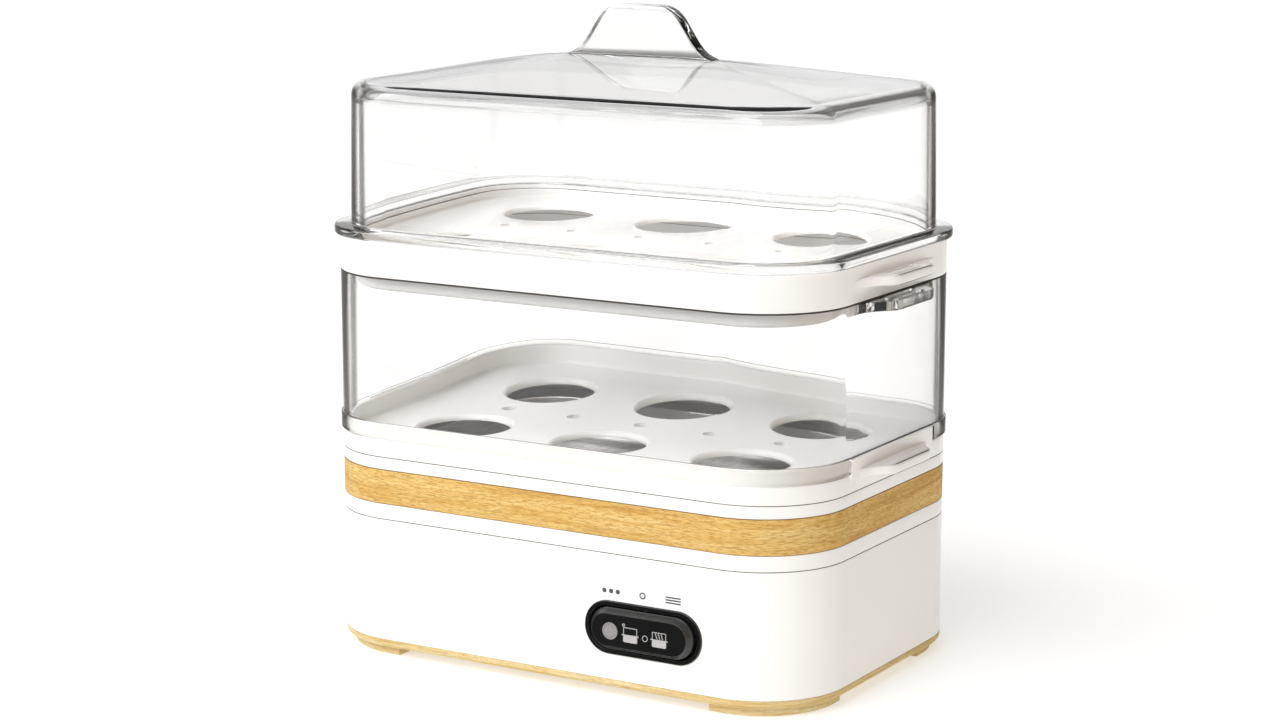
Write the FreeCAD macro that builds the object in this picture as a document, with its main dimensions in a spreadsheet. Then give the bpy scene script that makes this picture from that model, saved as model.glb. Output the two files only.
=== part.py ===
import FreeCAD, Part
import math
import operator
import os

import Sketcher

# Two-tier egg cooker. Millimetres and degrees. +Z is up, the front faces -Y, and the
# origin is on the floor at the middle of the footprint.

doc = FreeCAD.newDocument("EggCooker")
sheet = doc.addObject("Spreadsheet::Sheet", "Sizes")

SIZES = {
    # case outline, seen from above; every other outline is this one moved inwards
    "case_width": 180.0,
    "case_depth": 120.0,
    "case_corner": 28.5,
    # heights above the floor
    "plate_bottom": 2.9,
    "case_bottom": 5.6,
    "case_seam": 45.6,
    "band_bottom": 50.6,
    "band_top": 61.9,
    "deck_top": 65.9,
    "ledge_top": 71.6,
    "rim_top": 76.4,
    "sleeve_top": 123.8,
    "upper_rim_top": 135.4,
    "lid_flange_top": 138.4,
    "lid_wall_top": 179.4,
    "lid_eaves": 183.9,
    "lid_ridge": 191.9,
    "lid_handle_top": 208.4,
    # base
    "foot_inset": 3.0,
    "foot_width": 12.5,
    "foot_straight": 4.0,
    "plate_edge_round": 1.6,
    "case_wall": 2.6,
    "band_thick": 1.4,
    "upper_wall": 3.2,
    "tongue_thick": 1.3,
    "tongue_drop": 2.5,
    "deck_rim": 3.0,
    "deck_thick": 2.0,
    "column_x": 76.5,
    "column_y": 46.5,
    "column_radius": 5.0,
    "column_top": 43.0,
    "post_radius": 3.0,
    "screw_radius": 1.4,
    "screw_clearance": 1.6,
    "screw_head_radius": 3.0,
    "screw_head_high": 2.0,
    "screw_tip": 54.0,
    "recess_long": 3.2,
    "recess_wide": 0.8,
    "recess_deep": 0.9,
    "vent_count": 5,
    "vent_pitch": 10.0,
    "vent_half_long": 14.0,
    "vent_half_wide": 1.2,
    "plate_rib_half": 48.0,
    # water pan and heater
    "pan_half_x": 73.0,
    "pan_half_y": 43.0,
    "pan_corner": 21.0,
    "pan_wall": 1.0,
    "pan_bottom": 52.5,
    "pan_flange_wide": 5.0,
    "pan_flange_under": 64.5,
    "pan_inner_round": 3.0,
    "spreader_half_x": 55.0,
    "spreader_half_y": 32.0,
    "spreader_corner": 10.0,
    "spreader_thick": 3.0,
    "heater_radius": 3.3,
    "heater_leg_y": 22.0,
    "heater_leg_end": 45.0,
    "heater_bend_x": 33.0,
    "pin_radius": 1.4,
    "pin_long": 12.0,
    "strap_x": 38.0,
    "strap_half_wide": 6.0,
    "strap_half_long": 54.0,
    "strap_thick": 1.5,
    "strap_screw_y": 50.0,
    "strap_post_radius": 3.5,
    "strap_screw_radius": 1.2,
    "strap_screw_long": 7.0,
    "strap_head_radius": 2.8,
    "thermostat_cap_radius": 8.0,
    "thermostat_base_radius": 6.8,
    "thermostat_base_high": 6.5,
    "thermostat_blade_x": 3.0,
    "clip_half_long": 40.0,
    "clip_half_wide": 9.0,
    "clip_thick": 0.8,
    "fuse_radius": 2.2,
    "fuse_start_x": 14.0,
    "fuse_long": 14.0,
    "fuse_y": 13.0,
    "earth_y": 36.0,
    "earth_half_wide": 4.0,
    "earth_half_long": 8.0,
    # cord entry and wiring
    "cord_x": -30.0,
    "cord_z": 16.6,
    "cord_hole": 3.4,
    "gland_neck": 6.0,
    "gland_flange": 8.5,
    "gland_inner_flange": 7.6,
    "gland_outside": 2.4,
    "clamp_y": 48.0,
    "clamp_half_wide": 3.5,
    "clamp_screw_reach": 9.5,
    "clamp_post_radius": 3.2,
    "clamp_post_top": 18.4,
    "clamp_high": 4.0,
    "clamp_arch": 2.9,
    "block_x": -31.0,
    "block_y": 32.0,
    "block_half_x": 15.0,
    "block_half_y": 8.0,
    "block_high": 13.0,
    "block_port": 1.9,
    "block_port_z": 11.0,
    "block_pitch": 9.5,
    "block_screw_radius": 2.2,
    "block_well_deep": 2.0,
    "wire_radius": 1.1,
    # rocker switch
    "switch_x": 36.0,
    "switch_z": 22.3,
    "bezel_half_long": 20.75,
    "bezel_half_high": 8.5,
    "bezel_proud": 1.2,
    "tube_half_long": 19.8,
    "tube_half_high": 8.0,
    "tube_deep": 8.0,
    "mouth_half_long": 18.9,
    "mouth_half_high": 7.0,
    "rocker_half_long": 18.1,
    "rocker_half_high": 6.6,
    "rocker_proud": 3.0,
    "rocker_bevel": 1.5,
    "rocker_deep": 8.0,
    "rocker_skin": 1.8,
    "hinge_behind_face": 2.0,
    "hinge_pin_radius": 1.2,
    "hinge_gap": 0.05,
    "hinge_web": 3.2,
    "lens_x": 26.0,
    "lens_z": 22.1,
    "lens_radius": 2.7,
    "lens_proud": 0.25,
    "lens_deep": 1.5,
    "lamp_radius": 1.9,
    "switch_body_half_x": 19.5,
    "switch_body_half_z": 7.8,
    "switch_body_deep": 16.0,
    "switch_cavity_half_x": 17.6,
    "switch_cavity_half_z": 6.0,
    "switch_cavity_deep": 10.0,
    "tab_pitch": 12.0,
    "tab_half_wide": 2.4,
    "tab_half_thick": 0.4,
    "tab_long": 7.0,
    "plunger_radius": 1.6,
    "plunger_long": 5.0,
    # trays
    "upstand_inset": 1.7,
    "upstand_inner": 3.5,
    "side_half": 28.6,
    "side_proud": 0.6,
    "floor_thick": 1.8,
    "basin_deep": 5.3,
    "tray_rib_outer": 3.5,
    "tray_rib_inner": 5.0,
    "tray_rib_drop": 1.4,
    "egg_pitch_x": 51.5,
    "egg_row_y": 25.75,
    "egg_hole": 15.0,
    "egg_bevel": 1.2,
    "steam_hole": 2.5,
    "upper_rib_outer": 5.0,
    "upper_rib_inner": 6.8,
    "upper_rib_bottom": 118.6,
    "upper_rib_round": 1.2,
    "skirt_wall": 2.2,
    "rim_round": 0.8,
    # side tabs of both trays and of the sleeve
    "grip_root": 24.0,
    "grip_outer": 14.5,
    "grip_reach": 97.6,
    "grip_thick": 3.0,
    "grip_corner": 5.0,
    "grip_top_lower": 72.6,
    "grip_top_upper": 131.1,
    "grip_slot_half": 10.0,
    "grip_slot_half_wide": 0.9,
    "grip_slot_first": 91.6,
    "grip_slot_second": 95.0,
    "grip_groove_deep": 0.7,
    # clear sleeve
    "sleeve_wall": 2.2,
    "skirt_outside": 0.7,
    "skirt_bottom": 71.7,
    "skirt_inner": 1.55,
    "skirt_top": 77.2,
    "notch_half": 29.1,
    "notch_top": 76.5,
    "skirt_round": 0.5,
    # lid
    "flange_outside": 1.8,
    "lid_inset": 3.6,
    "lid_wall": 2.2,
    "lid_top_inset": 4.3,
    "lid_bead_drop": 1.5,
    "shoulder_wide": 3.5,
    "ridge_half_x": 27.0,
    "ridge_half_y": 2.6,
    "fin_half_thick": 2.8,
    "fin_foot": 24.5,
    "fin_top": 15.5,
    "fin_corner": 4.5,
}

for row, (alias, number) in enumerate(SIZES.items(), start=1):
    sheet.set(f"A{row}", alias)
    sheet.set(f"B{row}", str(number))
    sheet.setAlias(f"B{row}", alias)
doc.recompute()

OPERATIONS = {"+": operator.add, "-": operator.sub, "*": operator.mul, "/": operator.truediv}


class Size:
    """A length as a number, together with the sheet expression that it comes from."""

    def __init__(self, number, text):
        self.number = number
        self.text = text

    def __add__(self, other):
        return combine(self, "+", other)

    def __sub__(self, other):
        return combine(self, "-", other)

    def __mul__(self, other):
        return combine(self, "*", other)

    def __truediv__(self, other):
        return combine(self, "/", other)

    def __neg__(self):
        return combine(as_size(0), "-", self)


def as_size(length):
    return length if isinstance(length, Size) else Size(float(length), str(length))


def combine(first, sign, second):
    first = as_size(first)
    second = as_size(second)
    number = OPERATIONS[sign](first.number, second.number)
    return Size(number, f"({first.text} {sign} {second.text})")


class Sheet:
    """S.name is the size of that name in the spreadsheet."""

    def __getattr__(self, alias):
        return Size(SIZES[alias], f"Sizes.{alias}")


S = Sheet()
ZERO = as_size(0)
PARTS = []
SHOULDER_STEPS = 3
ROOF_SHARES = (0.0, 0.3, 0.65, 1.0)
CROWN_POWER = 1.4
ARC_SHARE = 0.4


# ---------------------------------------------------------------- sketches and features


def new_body(name):
    body = doc.addObject("PartDesign::Body", name)
    body.Label = name
    PARTS.append(body)
    return body


def origin_plane(body, role):
    for feature in body.Origin.OriginFeatures:
        if feature.Role == role:
            return feature
    raise ValueError(role)


def sketch_on(body, name, role, offset):
    """A sketch on an origin plane, moved along its normal: +Z, -Y (XZ plane) or +X."""
    sketch = body.newObject("Sketcher::SketchObject", f"{body.Name}_{name}_sketch")
    sketch.AttachmentSupport = [(origin_plane(body, role), "")]
    sketch.MapMode = "FlatFace"
    offset = as_size(offset)
    sketch.AttachmentOffset = FreeCAD.Placement(
        FreeCAD.Vector(0, 0, offset.number), FreeCAD.Rotation()
    )
    sketch.setExpression("AttachmentOffset.Base.z", offset.text)
    return sketch


def measure(sketch, kind, places, length):
    index = sketch.addConstraint(Sketcher.Constraint(kind, *places, length.number))
    sketch.setExpression(f"Constraints[{index}]", length.text)


def pin_point(sketch, item, point, x, y):
    """Hold a point of a sketch item at x, y from the sketch's origin."""
    for kind, length in (("DistanceX", as_size(x)), ("DistanceY", as_size(y))):
        if length.number >= 0:
            measure(sketch, kind, (-1, 1, item, point), length)
        else:
            measure(sketch, kind, (item, point, -1, 1), -length)


def arc(x, y, radius, start, end):
    circle = Part.Circle(FreeCAD.Vector(x, y, 0), FreeCAD.Vector(0, 0, 1), radius)
    return Part.ArcOfCircle(circle, math.radians(start), math.radians(end))


def line(start, end):
    return Part.LineSegment(FreeCAD.Vector(*start, 0), FreeCAD.Vector(*end, 0))


def draw_circle(sketch, x, y, radius):
    x = as_size(x)
    y = as_size(y)
    centre = FreeCAD.Vector(x.number, y.number, 0)
    item = sketch.addGeometry(Part.Circle(centre, FreeCAD.Vector(0, 0, 1), radius.number))
    measure(sketch, "Radius", (item,), radius)
    pin_point(sketch, item, 3, x, y)


def draw_polygon(sketch, points):
    """A closed outline of straight lines, every corner held in place."""
    numbers = [(as_size(x).number, as_size(y).number) for x, y in points]
    items = []
    for index, start in enumerate(numbers):
        end = numbers[(index + 1) % len(numbers)]
        items.append(sketch.addGeometry(line(start, end)))
    for index, item in enumerate(items):
        following = items[(index + 1) % len(items)]
        sketch.addConstraint(Sketcher.Constraint("Coincident", item, 2, following, 1))
    for item, (x, y) in zip(items, points):
        pin_point(sketch, item, 1, x, y)


def draw_box(sketch, low_x, low_y, high_x, high_y):
    draw_polygon(sketch, [(low_x, low_y), (high_x, low_y), (high_x, high_y), (low_x, high_y)])


def draw_rounded(sketch, half_x, half_y, radius, x=ZERO, y=ZERO):
    """A rectangle with round corners about x, y."""
    reach_x = half_x - radius
    reach_y = half_y - radius
    corners = [(x + reach_x, y + reach_y), (x - reach_x, y + reach_y)]
    corners += [(x - reach_x, y - reach_y), (x + reach_x, y - reach_y)]
    arcs = []
    for turn, (cx, cy) in enumerate(corners):
        shape = arc(cx.number, cy.number, radius.number, 90 * turn, 90 * turn + 90)
        arcs.append(sketch.addGeometry(shape))
    sides = []
    for turn in range(4):
        first = sketch.Geometry[arcs[turn]].EndPoint
        second = sketch.Geometry[arcs[(turn + 1) % 4]].StartPoint
        sides.append(sketch.addGeometry(Part.LineSegment(first, second)))
    for turn in range(4):
        following = arcs[(turn + 1) % 4]
        sketch.addConstraint(Sketcher.Constraint("Tangent", arcs[turn], 2, sides[turn], 1))
        sketch.addConstraint(Sketcher.Constraint("Tangent", sides[turn], 2, following, 1))
        straight = "Vertical" if turn % 2 else "Horizontal"
        sketch.addConstraint(Sketcher.Constraint(straight, sides[turn]))
    for other in arcs[1:]:
        sketch.addConstraint(Sketcher.Constraint("Equal", arcs[0], other))
    measure(sketch, "Radius", (arcs[0],), radius)
    pin_point(sketch, arcs[0], 3, *corners[0])
    pin_point(sketch, arcs[2], 3, *corners[2])


def draw_stadium(sketch, half_long, half_wide, x, y, upright=False):
    """A slot with round ends about x, y, along the sketch's first axis or its second."""
    reach = half_long - half_wide
    turn = 90 if upright else 0
    ends = [(x, y + reach), (x, y - reach)] if upright else [(x + reach, y), (x - reach, y)]
    arcs = []
    for index, (cx, cy) in enumerate(ends):
        begin = turn - 90 + 180 * index
        shape = arc(cx.number, cy.number, half_wide.number, begin, begin + 180)
        arcs.append(sketch.addGeometry(shape))
    for one, other in ((arcs[0], arcs[1]), (arcs[1], arcs[0])):
        first = sketch.Geometry[one].EndPoint
        second = sketch.Geometry[other].StartPoint
        side = sketch.addGeometry(Part.LineSegment(first, second))
        sketch.addConstraint(Sketcher.Constraint("Tangent", one, 2, side, 1))
        sketch.addConstraint(Sketcher.Constraint("Tangent", side, 2, other, 1))
    sketch.addConstraint(Sketcher.Constraint("Equal", arcs[0], arcs[1]))
    measure(sketch, "Radius", (arcs[0],), half_wide)
    for item, (cx, cy) in zip(arcs, ends):
        pin_point(sketch, item, 3, cx, cy)


def draw_outline(sketch, inset):
    """The case outline moved inwards by inset (outwards where it is negative)."""
    half_x = S.case_width / 2 - inset
    half_y = S.case_depth / 2 - inset
    draw_rounded(sketch, half_x, half_y, S.case_corner - inset)


def pad(body, sketch, length, taper=None, midplane=False):
    """Add material from the sketch along its normal."""
    feature = body.newObject("PartDesign::Pad", sketch.Name.replace("sketch", "pad"))
    feature.Profile = sketch
    length = as_size(length)
    feature.Length = length.number
    feature.setExpression("Length", length.text)
    feature.Midplane = midplane
    if taper is not None:
        feature.setExpression("TaperAngle", taper.text)
    doc.recompute()
    return feature


def pocket(body, sketch, length, taper=None):
    """Take material away from the sketch against its normal: down, back or to the left."""
    before = body.Tip.Shape.Volume
    feature = body.newObject("PartDesign::Pocket", sketch.Name.replace("sketch", "cut"))
    feature.Profile = sketch
    length = as_size(length)
    feature.Length = length.number
    feature.setExpression("Length", length.text)
    if taper is not None:
        feature.setExpression("TaperAngle", taper.text)
    doc.recompute()
    if feature.Shape.Volume > before - 0.01:
        raise RuntimeError(f"{feature.Name} cuts nothing")
    return feature


def ring(body, name, bottom, top, outer, inner):
    """A wall that follows the case outline, between two insets and two heights."""
    sketch = sketch_on(body, name, "XY_Plane", bottom)
    draw_outline(sketch, outer)
    draw_outline(sketch, inner)
    return pad(body, sketch, top - bottom)


def slab(body, name, bottom, top, inset):
    """A plate with the case outline moved inwards by inset."""
    sketch = sketch_on(body, name, "XY_Plane", bottom)
    draw_outline(sketch, inset)
    return pad(body, sketch, top - bottom)


def posts(body, name, places, radius, bottom, top):
    """Upright round posts of one radius."""
    sketch = sketch_on(body, name, "XY_Plane", bottom)
    for x, y in places:
        draw_circle(sketch, x, y, radius)
    return pad(body, sketch, top - bottom)


def holes(body, name, places, radius, top, depth):
    """Upright round holes, drilled down from top."""
    sketch = sketch_on(body, name, "XY_Plane", top)
    for x, y in places:
        draw_circle(sketch, x, y, radius)
    return pocket(body, sketch, depth)


def cross_recess(body, name, places, level, depth, up=True):
    """A cross recess in each screw head, cut from level towards the shank."""
    for direction in ("long", "wide"):
        reach_x = S.recess_long / 2 if direction == "long" else S.recess_wide / 2
        reach_y = S.recess_wide / 2 if direction == "long" else S.recess_long / 2
        start = level + depth if up else level
        sketch = sketch_on(body, f"{name}_{direction}", "XY_Plane", start)
        for x, y in places:
            draw_box(sketch, x - reach_x, y - reach_y, x + reach_x, y + reach_y)
        pocket(body, sketch, depth)


def inset_of(point):
    """How far inside the case outline a point lies, seen from above."""
    over_x = abs(point.x) - (SIZES["case_width"] / 2 - SIZES["case_corner"])
    over_y = abs(point.y) - (SIZES["case_depth"] / 2 - SIZES["case_corner"])
    outside = math.hypot(max(over_x, 0), max(over_y, 0))
    return SIZES["case_corner"] - outside - min(max(over_x, over_y), 0)


def edge_middle(edge):
    return edge.valueAt((edge.FirstParameter + edge.LastParameter) / 2)


def on_outline(level, inset):
    """Chooses the level edges at a height that follow the outline at an inset."""

    def chosen(edge):
        flat = edge.BoundBox.ZLength < 0.01 and abs(edge.BoundBox.ZMin - level.number) < 0.02
        return flat and abs(inset_of(edge_middle(edge)) - as_size(inset).number) < 0.05

    return chosen


def upright_at(x, y):
    """Chooses the upright edges at plus or minus x and plus or minus y."""

    def chosen(edge):
        box = edge.BoundBox
        upright = box.ZLength > 0.5 and box.XLength < 0.01 and box.YLength < 0.01
        middle = edge_middle(edge)
        near_x = abs(abs(middle.x) - x.number) < 0.05
        return upright and near_x and abs(abs(middle.y) - y.number) < 0.05

    return chosen


def dress(body, kind, name, amount, chosen):
    """Round or bevel the chosen edges of the body."""
    base = body.Tip
    edges = [f"Edge{n}" for n, edge in enumerate(base.Shape.Edges, start=1) if chosen(edge)]
    if not edges:
        raise RuntimeError(f"{body.Name} {name}: no edges")
    feature = body.newObject(f"PartDesign::{kind}", f"{body.Name}_{name}")
    feature.Base = (base, edges)
    feature.setExpression("Radius" if kind == "Fillet" else "Size", amount.text)
    doc.recompute()
    return feature


def four_corners(x, y):
    return [(x, y), (-x, y), (-x, -y), (x, -y)]


# ---------------------------------------------------------------- base and case

COLUMNS = four_corners(S.column_x, S.column_y)
STRAP_SCREWS = four_corners(S.strap_x, S.strap_screw_y)


def make_feet():
    """Four pads that follow the corners: a ring with its straight stretches cut away."""
    body = new_body("feet")
    inner = S.foot_inset + S.foot_width
    ring(body, "ring", ZERO, S.plate_bottom, S.foot_inset, inner)
    open_x = S.case_width / 2 - S.case_corner - S.foot_straight
    open_y = S.case_depth / 2 - S.case_corner - S.foot_straight
    gaps = [("sides", S.case_width, open_y), ("ends", open_x, S.case_depth)]
    for name, half_x, half_y in gaps:
        sketch = sketch_on(body, name, "XY_Plane", S.plate_bottom)
        draw_box(sketch, -half_x, -half_y, half_x, half_y)
        pocket(body, sketch, S.plate_bottom)
    dress(body, "Chamfer", "edge", S.rim_round, on_outline(ZERO, S.foot_inset))


def make_base_plate():
    body = new_body("base_plate")
    slab(body, "plate", S.plate_bottom, S.case_bottom, ZERO)
    dress(body, "Fillet", "edge", S.plate_edge_round, on_outline(S.plate_bottom, ZERO))
    thick = S.case_bottom - S.plate_bottom
    sketch = sketch_on(body, "vents", "XY_Plane", S.case_bottom)
    for step in range(SIZES["vent_count"]):
        place = S.vent_pitch * (step - (SIZES["vent_count"] - 1) / 2)
        draw_stadium(sketch, S.vent_half_long, S.vent_half_wide, place, ZERO, upright=True)
    pocket(body, sketch, thick)
    holes(body, "screw_holes", COLUMNS, S.screw_clearance, S.case_bottom, thick)
    head_top = S.plate_bottom + S.screw_head_high
    holes(body, "head_wells", COLUMNS, S.screw_head_radius + 0.2, head_top, S.screw_head_high)
    outer = S.case_depth / 2 - S.case_wall - 0.1
    sketch = sketch_on(body, "ribs", "XY_Plane", S.case_bottom)
    rib_thick = S.tongue_thick
    draw_box(sketch, -S.plate_rib_half, outer - rib_thick, S.cord_x - 11, outer)
    draw_box(sketch, S.cord_x + 11, outer - rib_thick, S.plate_rib_half, outer)
    draw_box(sketch, -S.plate_rib_half, -outer, S.plate_rib_half * 0.25, rib_thick - outer)
    pad(body, sketch, S.tongue_drop)
    clamp_posts = [(S.cord_x - S.clamp_screw_reach, S.clamp_y)]
    clamp_posts.append((S.cord_x + S.clamp_screw_reach, S.clamp_y))
    posts(body, "clamp_posts", clamp_posts, S.clamp_post_radius, S.case_bottom, S.clamp_post_top)
    depth = S.clamp_post_top - S.case_bottom
    holes(body, "clamp_holes", clamp_posts, S.strap_screw_radius, S.clamp_post_top, depth)


def make_lower_housing():
    body = new_body("lower_housing")
    ring(body, "wall", S.case_bottom, S.case_seam, ZERO, S.case_wall)
    posts(body, "columns", COLUMNS, S.column_radius, S.case_bottom, S.column_top)
    depth = S.column_top - S.case_bottom
    holes(body, "column_holes", COLUMNS, S.screw_clearance, S.column_top, depth)
    sketch = sketch_on(body, "switch_cutout", "XZ_Plane", S.case_depth / 2)
    half_long = S.tube_half_long + 0.1
    draw_stadium(sketch, half_long, S.tube_half_high + 0.1, S.switch_x, S.switch_z)
    pocket(body, sketch, S.case_wall)
    inside = S.case_wall - S.case_depth / 2
    sketch = sketch_on(body, "gland_hole", "XZ_Plane", inside)
    draw_circle(sketch, S.cord_x, S.cord_z, S.gland_neck)
    pocket(body, sketch, S.case_wall)


def make_upper_housing():
    body = new_body("upper_housing")
    ring(body, "lower_lip", S.case_seam, S.band_bottom, ZERO, S.upper_wall)
    ring(body, "band_seat", S.band_bottom, S.band_top, S.band_thick, S.upper_wall)
    tongue = S.case_wall + 0.05
    bottom = S.case_seam - S.tongue_drop
    top = S.case_seam + S.tongue_drop
    ring(body, "tongue", bottom, top, tongue, tongue + S.tongue_thick)


def make_wood_band():
    body = new_body("wood_band")
    ring(body, "strip", S.band_bottom, S.band_top, ZERO, S.band_thick)


def make_top_deck():
    body = new_body("top_deck")
    slab(body, "deck", S.band_top, S.band_top + S.deck_thick, ZERO)
    ring(body, "rim", S.band_top, S.deck_top, ZERO, S.deck_rim)
    sketch = sketch_on(body, "pan_opening", "XY_Plane", S.band_top + S.deck_thick)
    half_x = S.pan_half_x + 1
    draw_rounded(sketch, half_x, S.pan_half_y + 1, S.pan_corner + 1)
    pocket(body, sketch, S.deck_thick)
    posts(body, "corner_posts", COLUMNS, S.post_radius, S.column_top, S.band_top)
    depth = S.screw_tip - S.column_top
    holes(body, "corner_pilots", COLUMNS, S.screw_radius, S.screw_tip, depth)
    bottom = heater_bottom()
    posts(body, "strap_posts", STRAP_SCREWS, S.strap_post_radius, bottom, S.band_top)
    top = bottom + S.strap_screw_long
    holes(body, "strap_pilots", STRAP_SCREWS, S.strap_screw_radius, top, S.strap_screw_long)
    dress(body, "Fillet", "rim_edge", S.rim_round / 2, on_outline(S.deck_top, S.deck_rim))


def make_case_screws():
    """Long screws from below that clamp plate, housing, ring, band and deck together."""
    body = new_body("case_screws")
    head_top = S.plate_bottom + S.screw_head_high
    posts(body, "heads", COLUMNS, S.screw_head_radius, S.plate_bottom, head_top)
    posts(body, "shanks", COLUMNS, S.screw_radius, S.plate_bottom, S.screw_tip)
    cross_recess(body, "recess", COLUMNS, S.plate_bottom, S.recess_deep)


# ---------------------------------------------------------------- water pan and heater


def spreader_bottom():
    return S.pan_bottom - S.spreader_thick


def heater_axis():
    return spreader_bottom() - S.heater_radius


def heater_bottom():
    return heater_axis() - S.heater_radius


def make_heating_pan():
    body = new_body("heating_pan")
    top = S.pan_flange_under + S.pan_wall
    sketch = sketch_on(body, "tub", "XY_Plane", S.pan_bottom)
    draw_rounded(sketch, S.pan_half_x, S.pan_half_y, S.pan_corner)
    pad(body, sketch, top - S.pan_bottom)
    sketch = sketch_on(body, "flange", "XY_Plane", S.pan_flange_under)
    half_x = S.pan_half_x + S.pan_flange_wide
    half_y = S.pan_half_y + S.pan_flange_wide
    draw_rounded(sketch, half_x, half_y, S.pan_corner + S.pan_flange_wide)
    pad(body, sketch, S.pan_wall)
    sketch = sketch_on(body, "well", "XY_Plane", top)
    half_x = S.pan_half_x - S.pan_wall
    draw_rounded(sketch, half_x, S.pan_half_y - S.pan_wall, S.pan_corner - S.pan_wall)
    pocket(body, sketch, top - S.pan_bottom - S.pan_wall)
    floor = (S.pan_bottom + S.pan_wall).number

    def around_floor(edge):
        return edge.BoundBox.ZLength < 0.01 and abs(edge.BoundBox.ZMin - floor) < 0.02

    dress(body, "Fillet", "floor_round", S.pan_inner_round, around_floor)


def make_pan_seal():
    body = new_body("pan_seal")
    sketch = sketch_on(body, "gasket", "XY_Plane", S.band_top + S.deck_thick)
    wide = S.pan_flange_wide - 1
    draw_rounded(sketch, S.pan_half_x + wide, S.pan_half_y + wide, S.pan_corner + wide)
    draw_rounded(sketch, S.pan_half_x + 1.2, S.pan_half_y + 1.2, S.pan_corner + 1.2)
    pad(body, sketch, S.pan_flange_under - S.band_top - S.deck_thick)


def make_heat_spreader():
    body = new_body("heat_spreader")
    sketch = sketch_on(body, "plate", "XY_Plane", spreader_bottom())
    draw_rounded(sketch, S.spreader_half_x, S.spreader_half_y, S.spreader_corner)
    pad(body, sketch, S.spreader_thick)


def make_heating_element():
    """A tubular heater bent to a U: two straight legs along X and a half turn."""
    body = new_body("heating_element")
    profile = sketch_on(body, "section", "YZ_Plane", S.heater_leg_end)
    draw_circle(profile, S.heater_leg_y, heater_axis(), S.heater_radius)
    path = sketch_on(body, "path", "XY_Plane", heater_axis())
    leg = S.heater_leg_y
    start = S.heater_leg_end.number
    bend = -S.heater_bend_x.number
    near = path.addGeometry(line((start, leg.number), (bend, leg.number)))
    turn = path.addGeometry(arc(bend, 0, leg.number, 90, 270))
    far = path.addGeometry(line((bend, -leg.number), (start, -leg.number)))
    path.addConstraint(Sketcher.Constraint("Tangent", near, 2, turn, 1))
    path.addConstraint(Sketcher.Constraint("Tangent", turn, 2, far, 1))
    pin_point(path, near, 1, S.heater_leg_end, leg)
    pin_point(path, far, 2, S.heater_leg_end, -leg)
    pin_point(path, turn, 3, -S.heater_bend_x, ZERO)
    doc.recompute()
    pipe = body.newObject("PartDesign::AdditivePipe", "heating_element_pipe")
    pipe.Profile = profile
    pipe.Spine = (path, [])
    doc.recompute()


def make_element_terminals():
    body = new_body("element_terminals")
    sketch = sketch_on(body, "pins", "YZ_Plane", S.heater_leg_end)
    for side in (1, -1):
        draw_circle(sketch, S.heater_leg_y * side, heater_axis(), S.pin_radius)
    pad(body, sketch, S.pin_long)


def make_retainer_straps():
    """Two steel straps under the heater, screwed to the posts of the deck."""
    body = new_body("retainer_straps")
    top = heater_bottom()
    sketch = sketch_on(body, "bars", "XY_Plane", top - S.strap_thick)
    for side in (1, -1):
        x = S.strap_x * side
        half = S.strap_half_wide
        draw_box(sketch, x - half, -S.strap_half_long, x + half, S.strap_half_long)
    pad(body, sketch, S.strap_thick)
    holes(body, "screw_holes", STRAP_SCREWS, S.screw_clearance, top, S.strap_thick)
    earth = [(S.strap_x, S.earth_y)]
    holes(body, "earth_hole", earth, S.strap_screw_radius, top, S.strap_thick)


def make_retainer_screws():
    body = new_body("retainer_screws")
    under = heater_bottom() - S.strap_thick
    bottom = under - S.screw_head_high
    top = heater_bottom() + S.strap_screw_long
    posts(body, "heads", STRAP_SCREWS, S.strap_head_radius, bottom, under)
    posts(body, "shanks", STRAP_SCREWS, S.strap_screw_radius, bottom, top)
    cross_recess(body, "recess", STRAP_SCREWS, bottom, S.recess_deep)


def make_thermostat():
    """A snap-disc thermostat under the heat spreader, with two blade terminals."""
    body = new_body("thermostat")
    cap_bottom = heater_bottom() + S.clip_thick
    middle = [(ZERO, ZERO)]
    posts(body, "cap", middle, S.thermostat_cap_radius, cap_bottom, spreader_bottom())
    bottom = cap_bottom - S.thermostat_base_high
    posts(body, "base", middle, S.thermostat_base_radius, bottom, cap_bottom)
    sketch = sketch_on(body, "blades", "XY_Plane", bottom - S.tab_long)
    for side in (1, -1):
        x = S.thermostat_blade_x * side
        half = S.tab_half_thick
        draw_box(sketch, x - half, -S.tab_half_wide, x + half, S.tab_half_wide)
    pad(body, sketch, S.tab_long)


def make_thermostat_clip():
    """A spring plate that lies on the straps and presses the thermostat up."""
    body = new_body("thermostat_clip")
    sketch = sketch_on(body, "plate", "XY_Plane", heater_bottom())
    draw_rounded(sketch, S.clip_half_long, S.clip_half_wide, S.clip_half_wide / 2)
    draw_circle(sketch, ZERO, ZERO, S.thermostat_base_radius + 0.2)
    pad(body, sketch, S.clip_thick)


def make_thermal_fuse():
    body = new_body("thermal_fuse")
    level = spreader_bottom() - S.fuse_radius
    sketch = sketch_on(body, "case", "YZ_Plane", S.fuse_start_x)
    draw_circle(sketch, S.fuse_y, level, S.fuse_radius)
    pad(body, sketch, S.fuse_long)
    sketch = sketch_on(body, "leads", "YZ_Plane", S.fuse_start_x - S.fuse_long / 4)
    draw_circle(sketch, S.fuse_y, level, S.fuse_radius / 4)
    pad(body, sketch, S.fuse_long * 1.5)


def make_earth_tag():
    body = new_body("earth_tag")
    top = heater_bottom() - S.strap_thick
    sketch = sketch_on(body, "tag", "XY_Plane", top - S.clip_thick)
    x = S.strap_x
    half = S.earth_half_wide
    draw_box(sketch, x - half, S.earth_y - S.earth_half_long, x + half, S.earth_y + half)
    draw_circle(sketch, x, S.earth_y, S.screw_clearance)
    pad(body, sketch, S.clip_thick)


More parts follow.
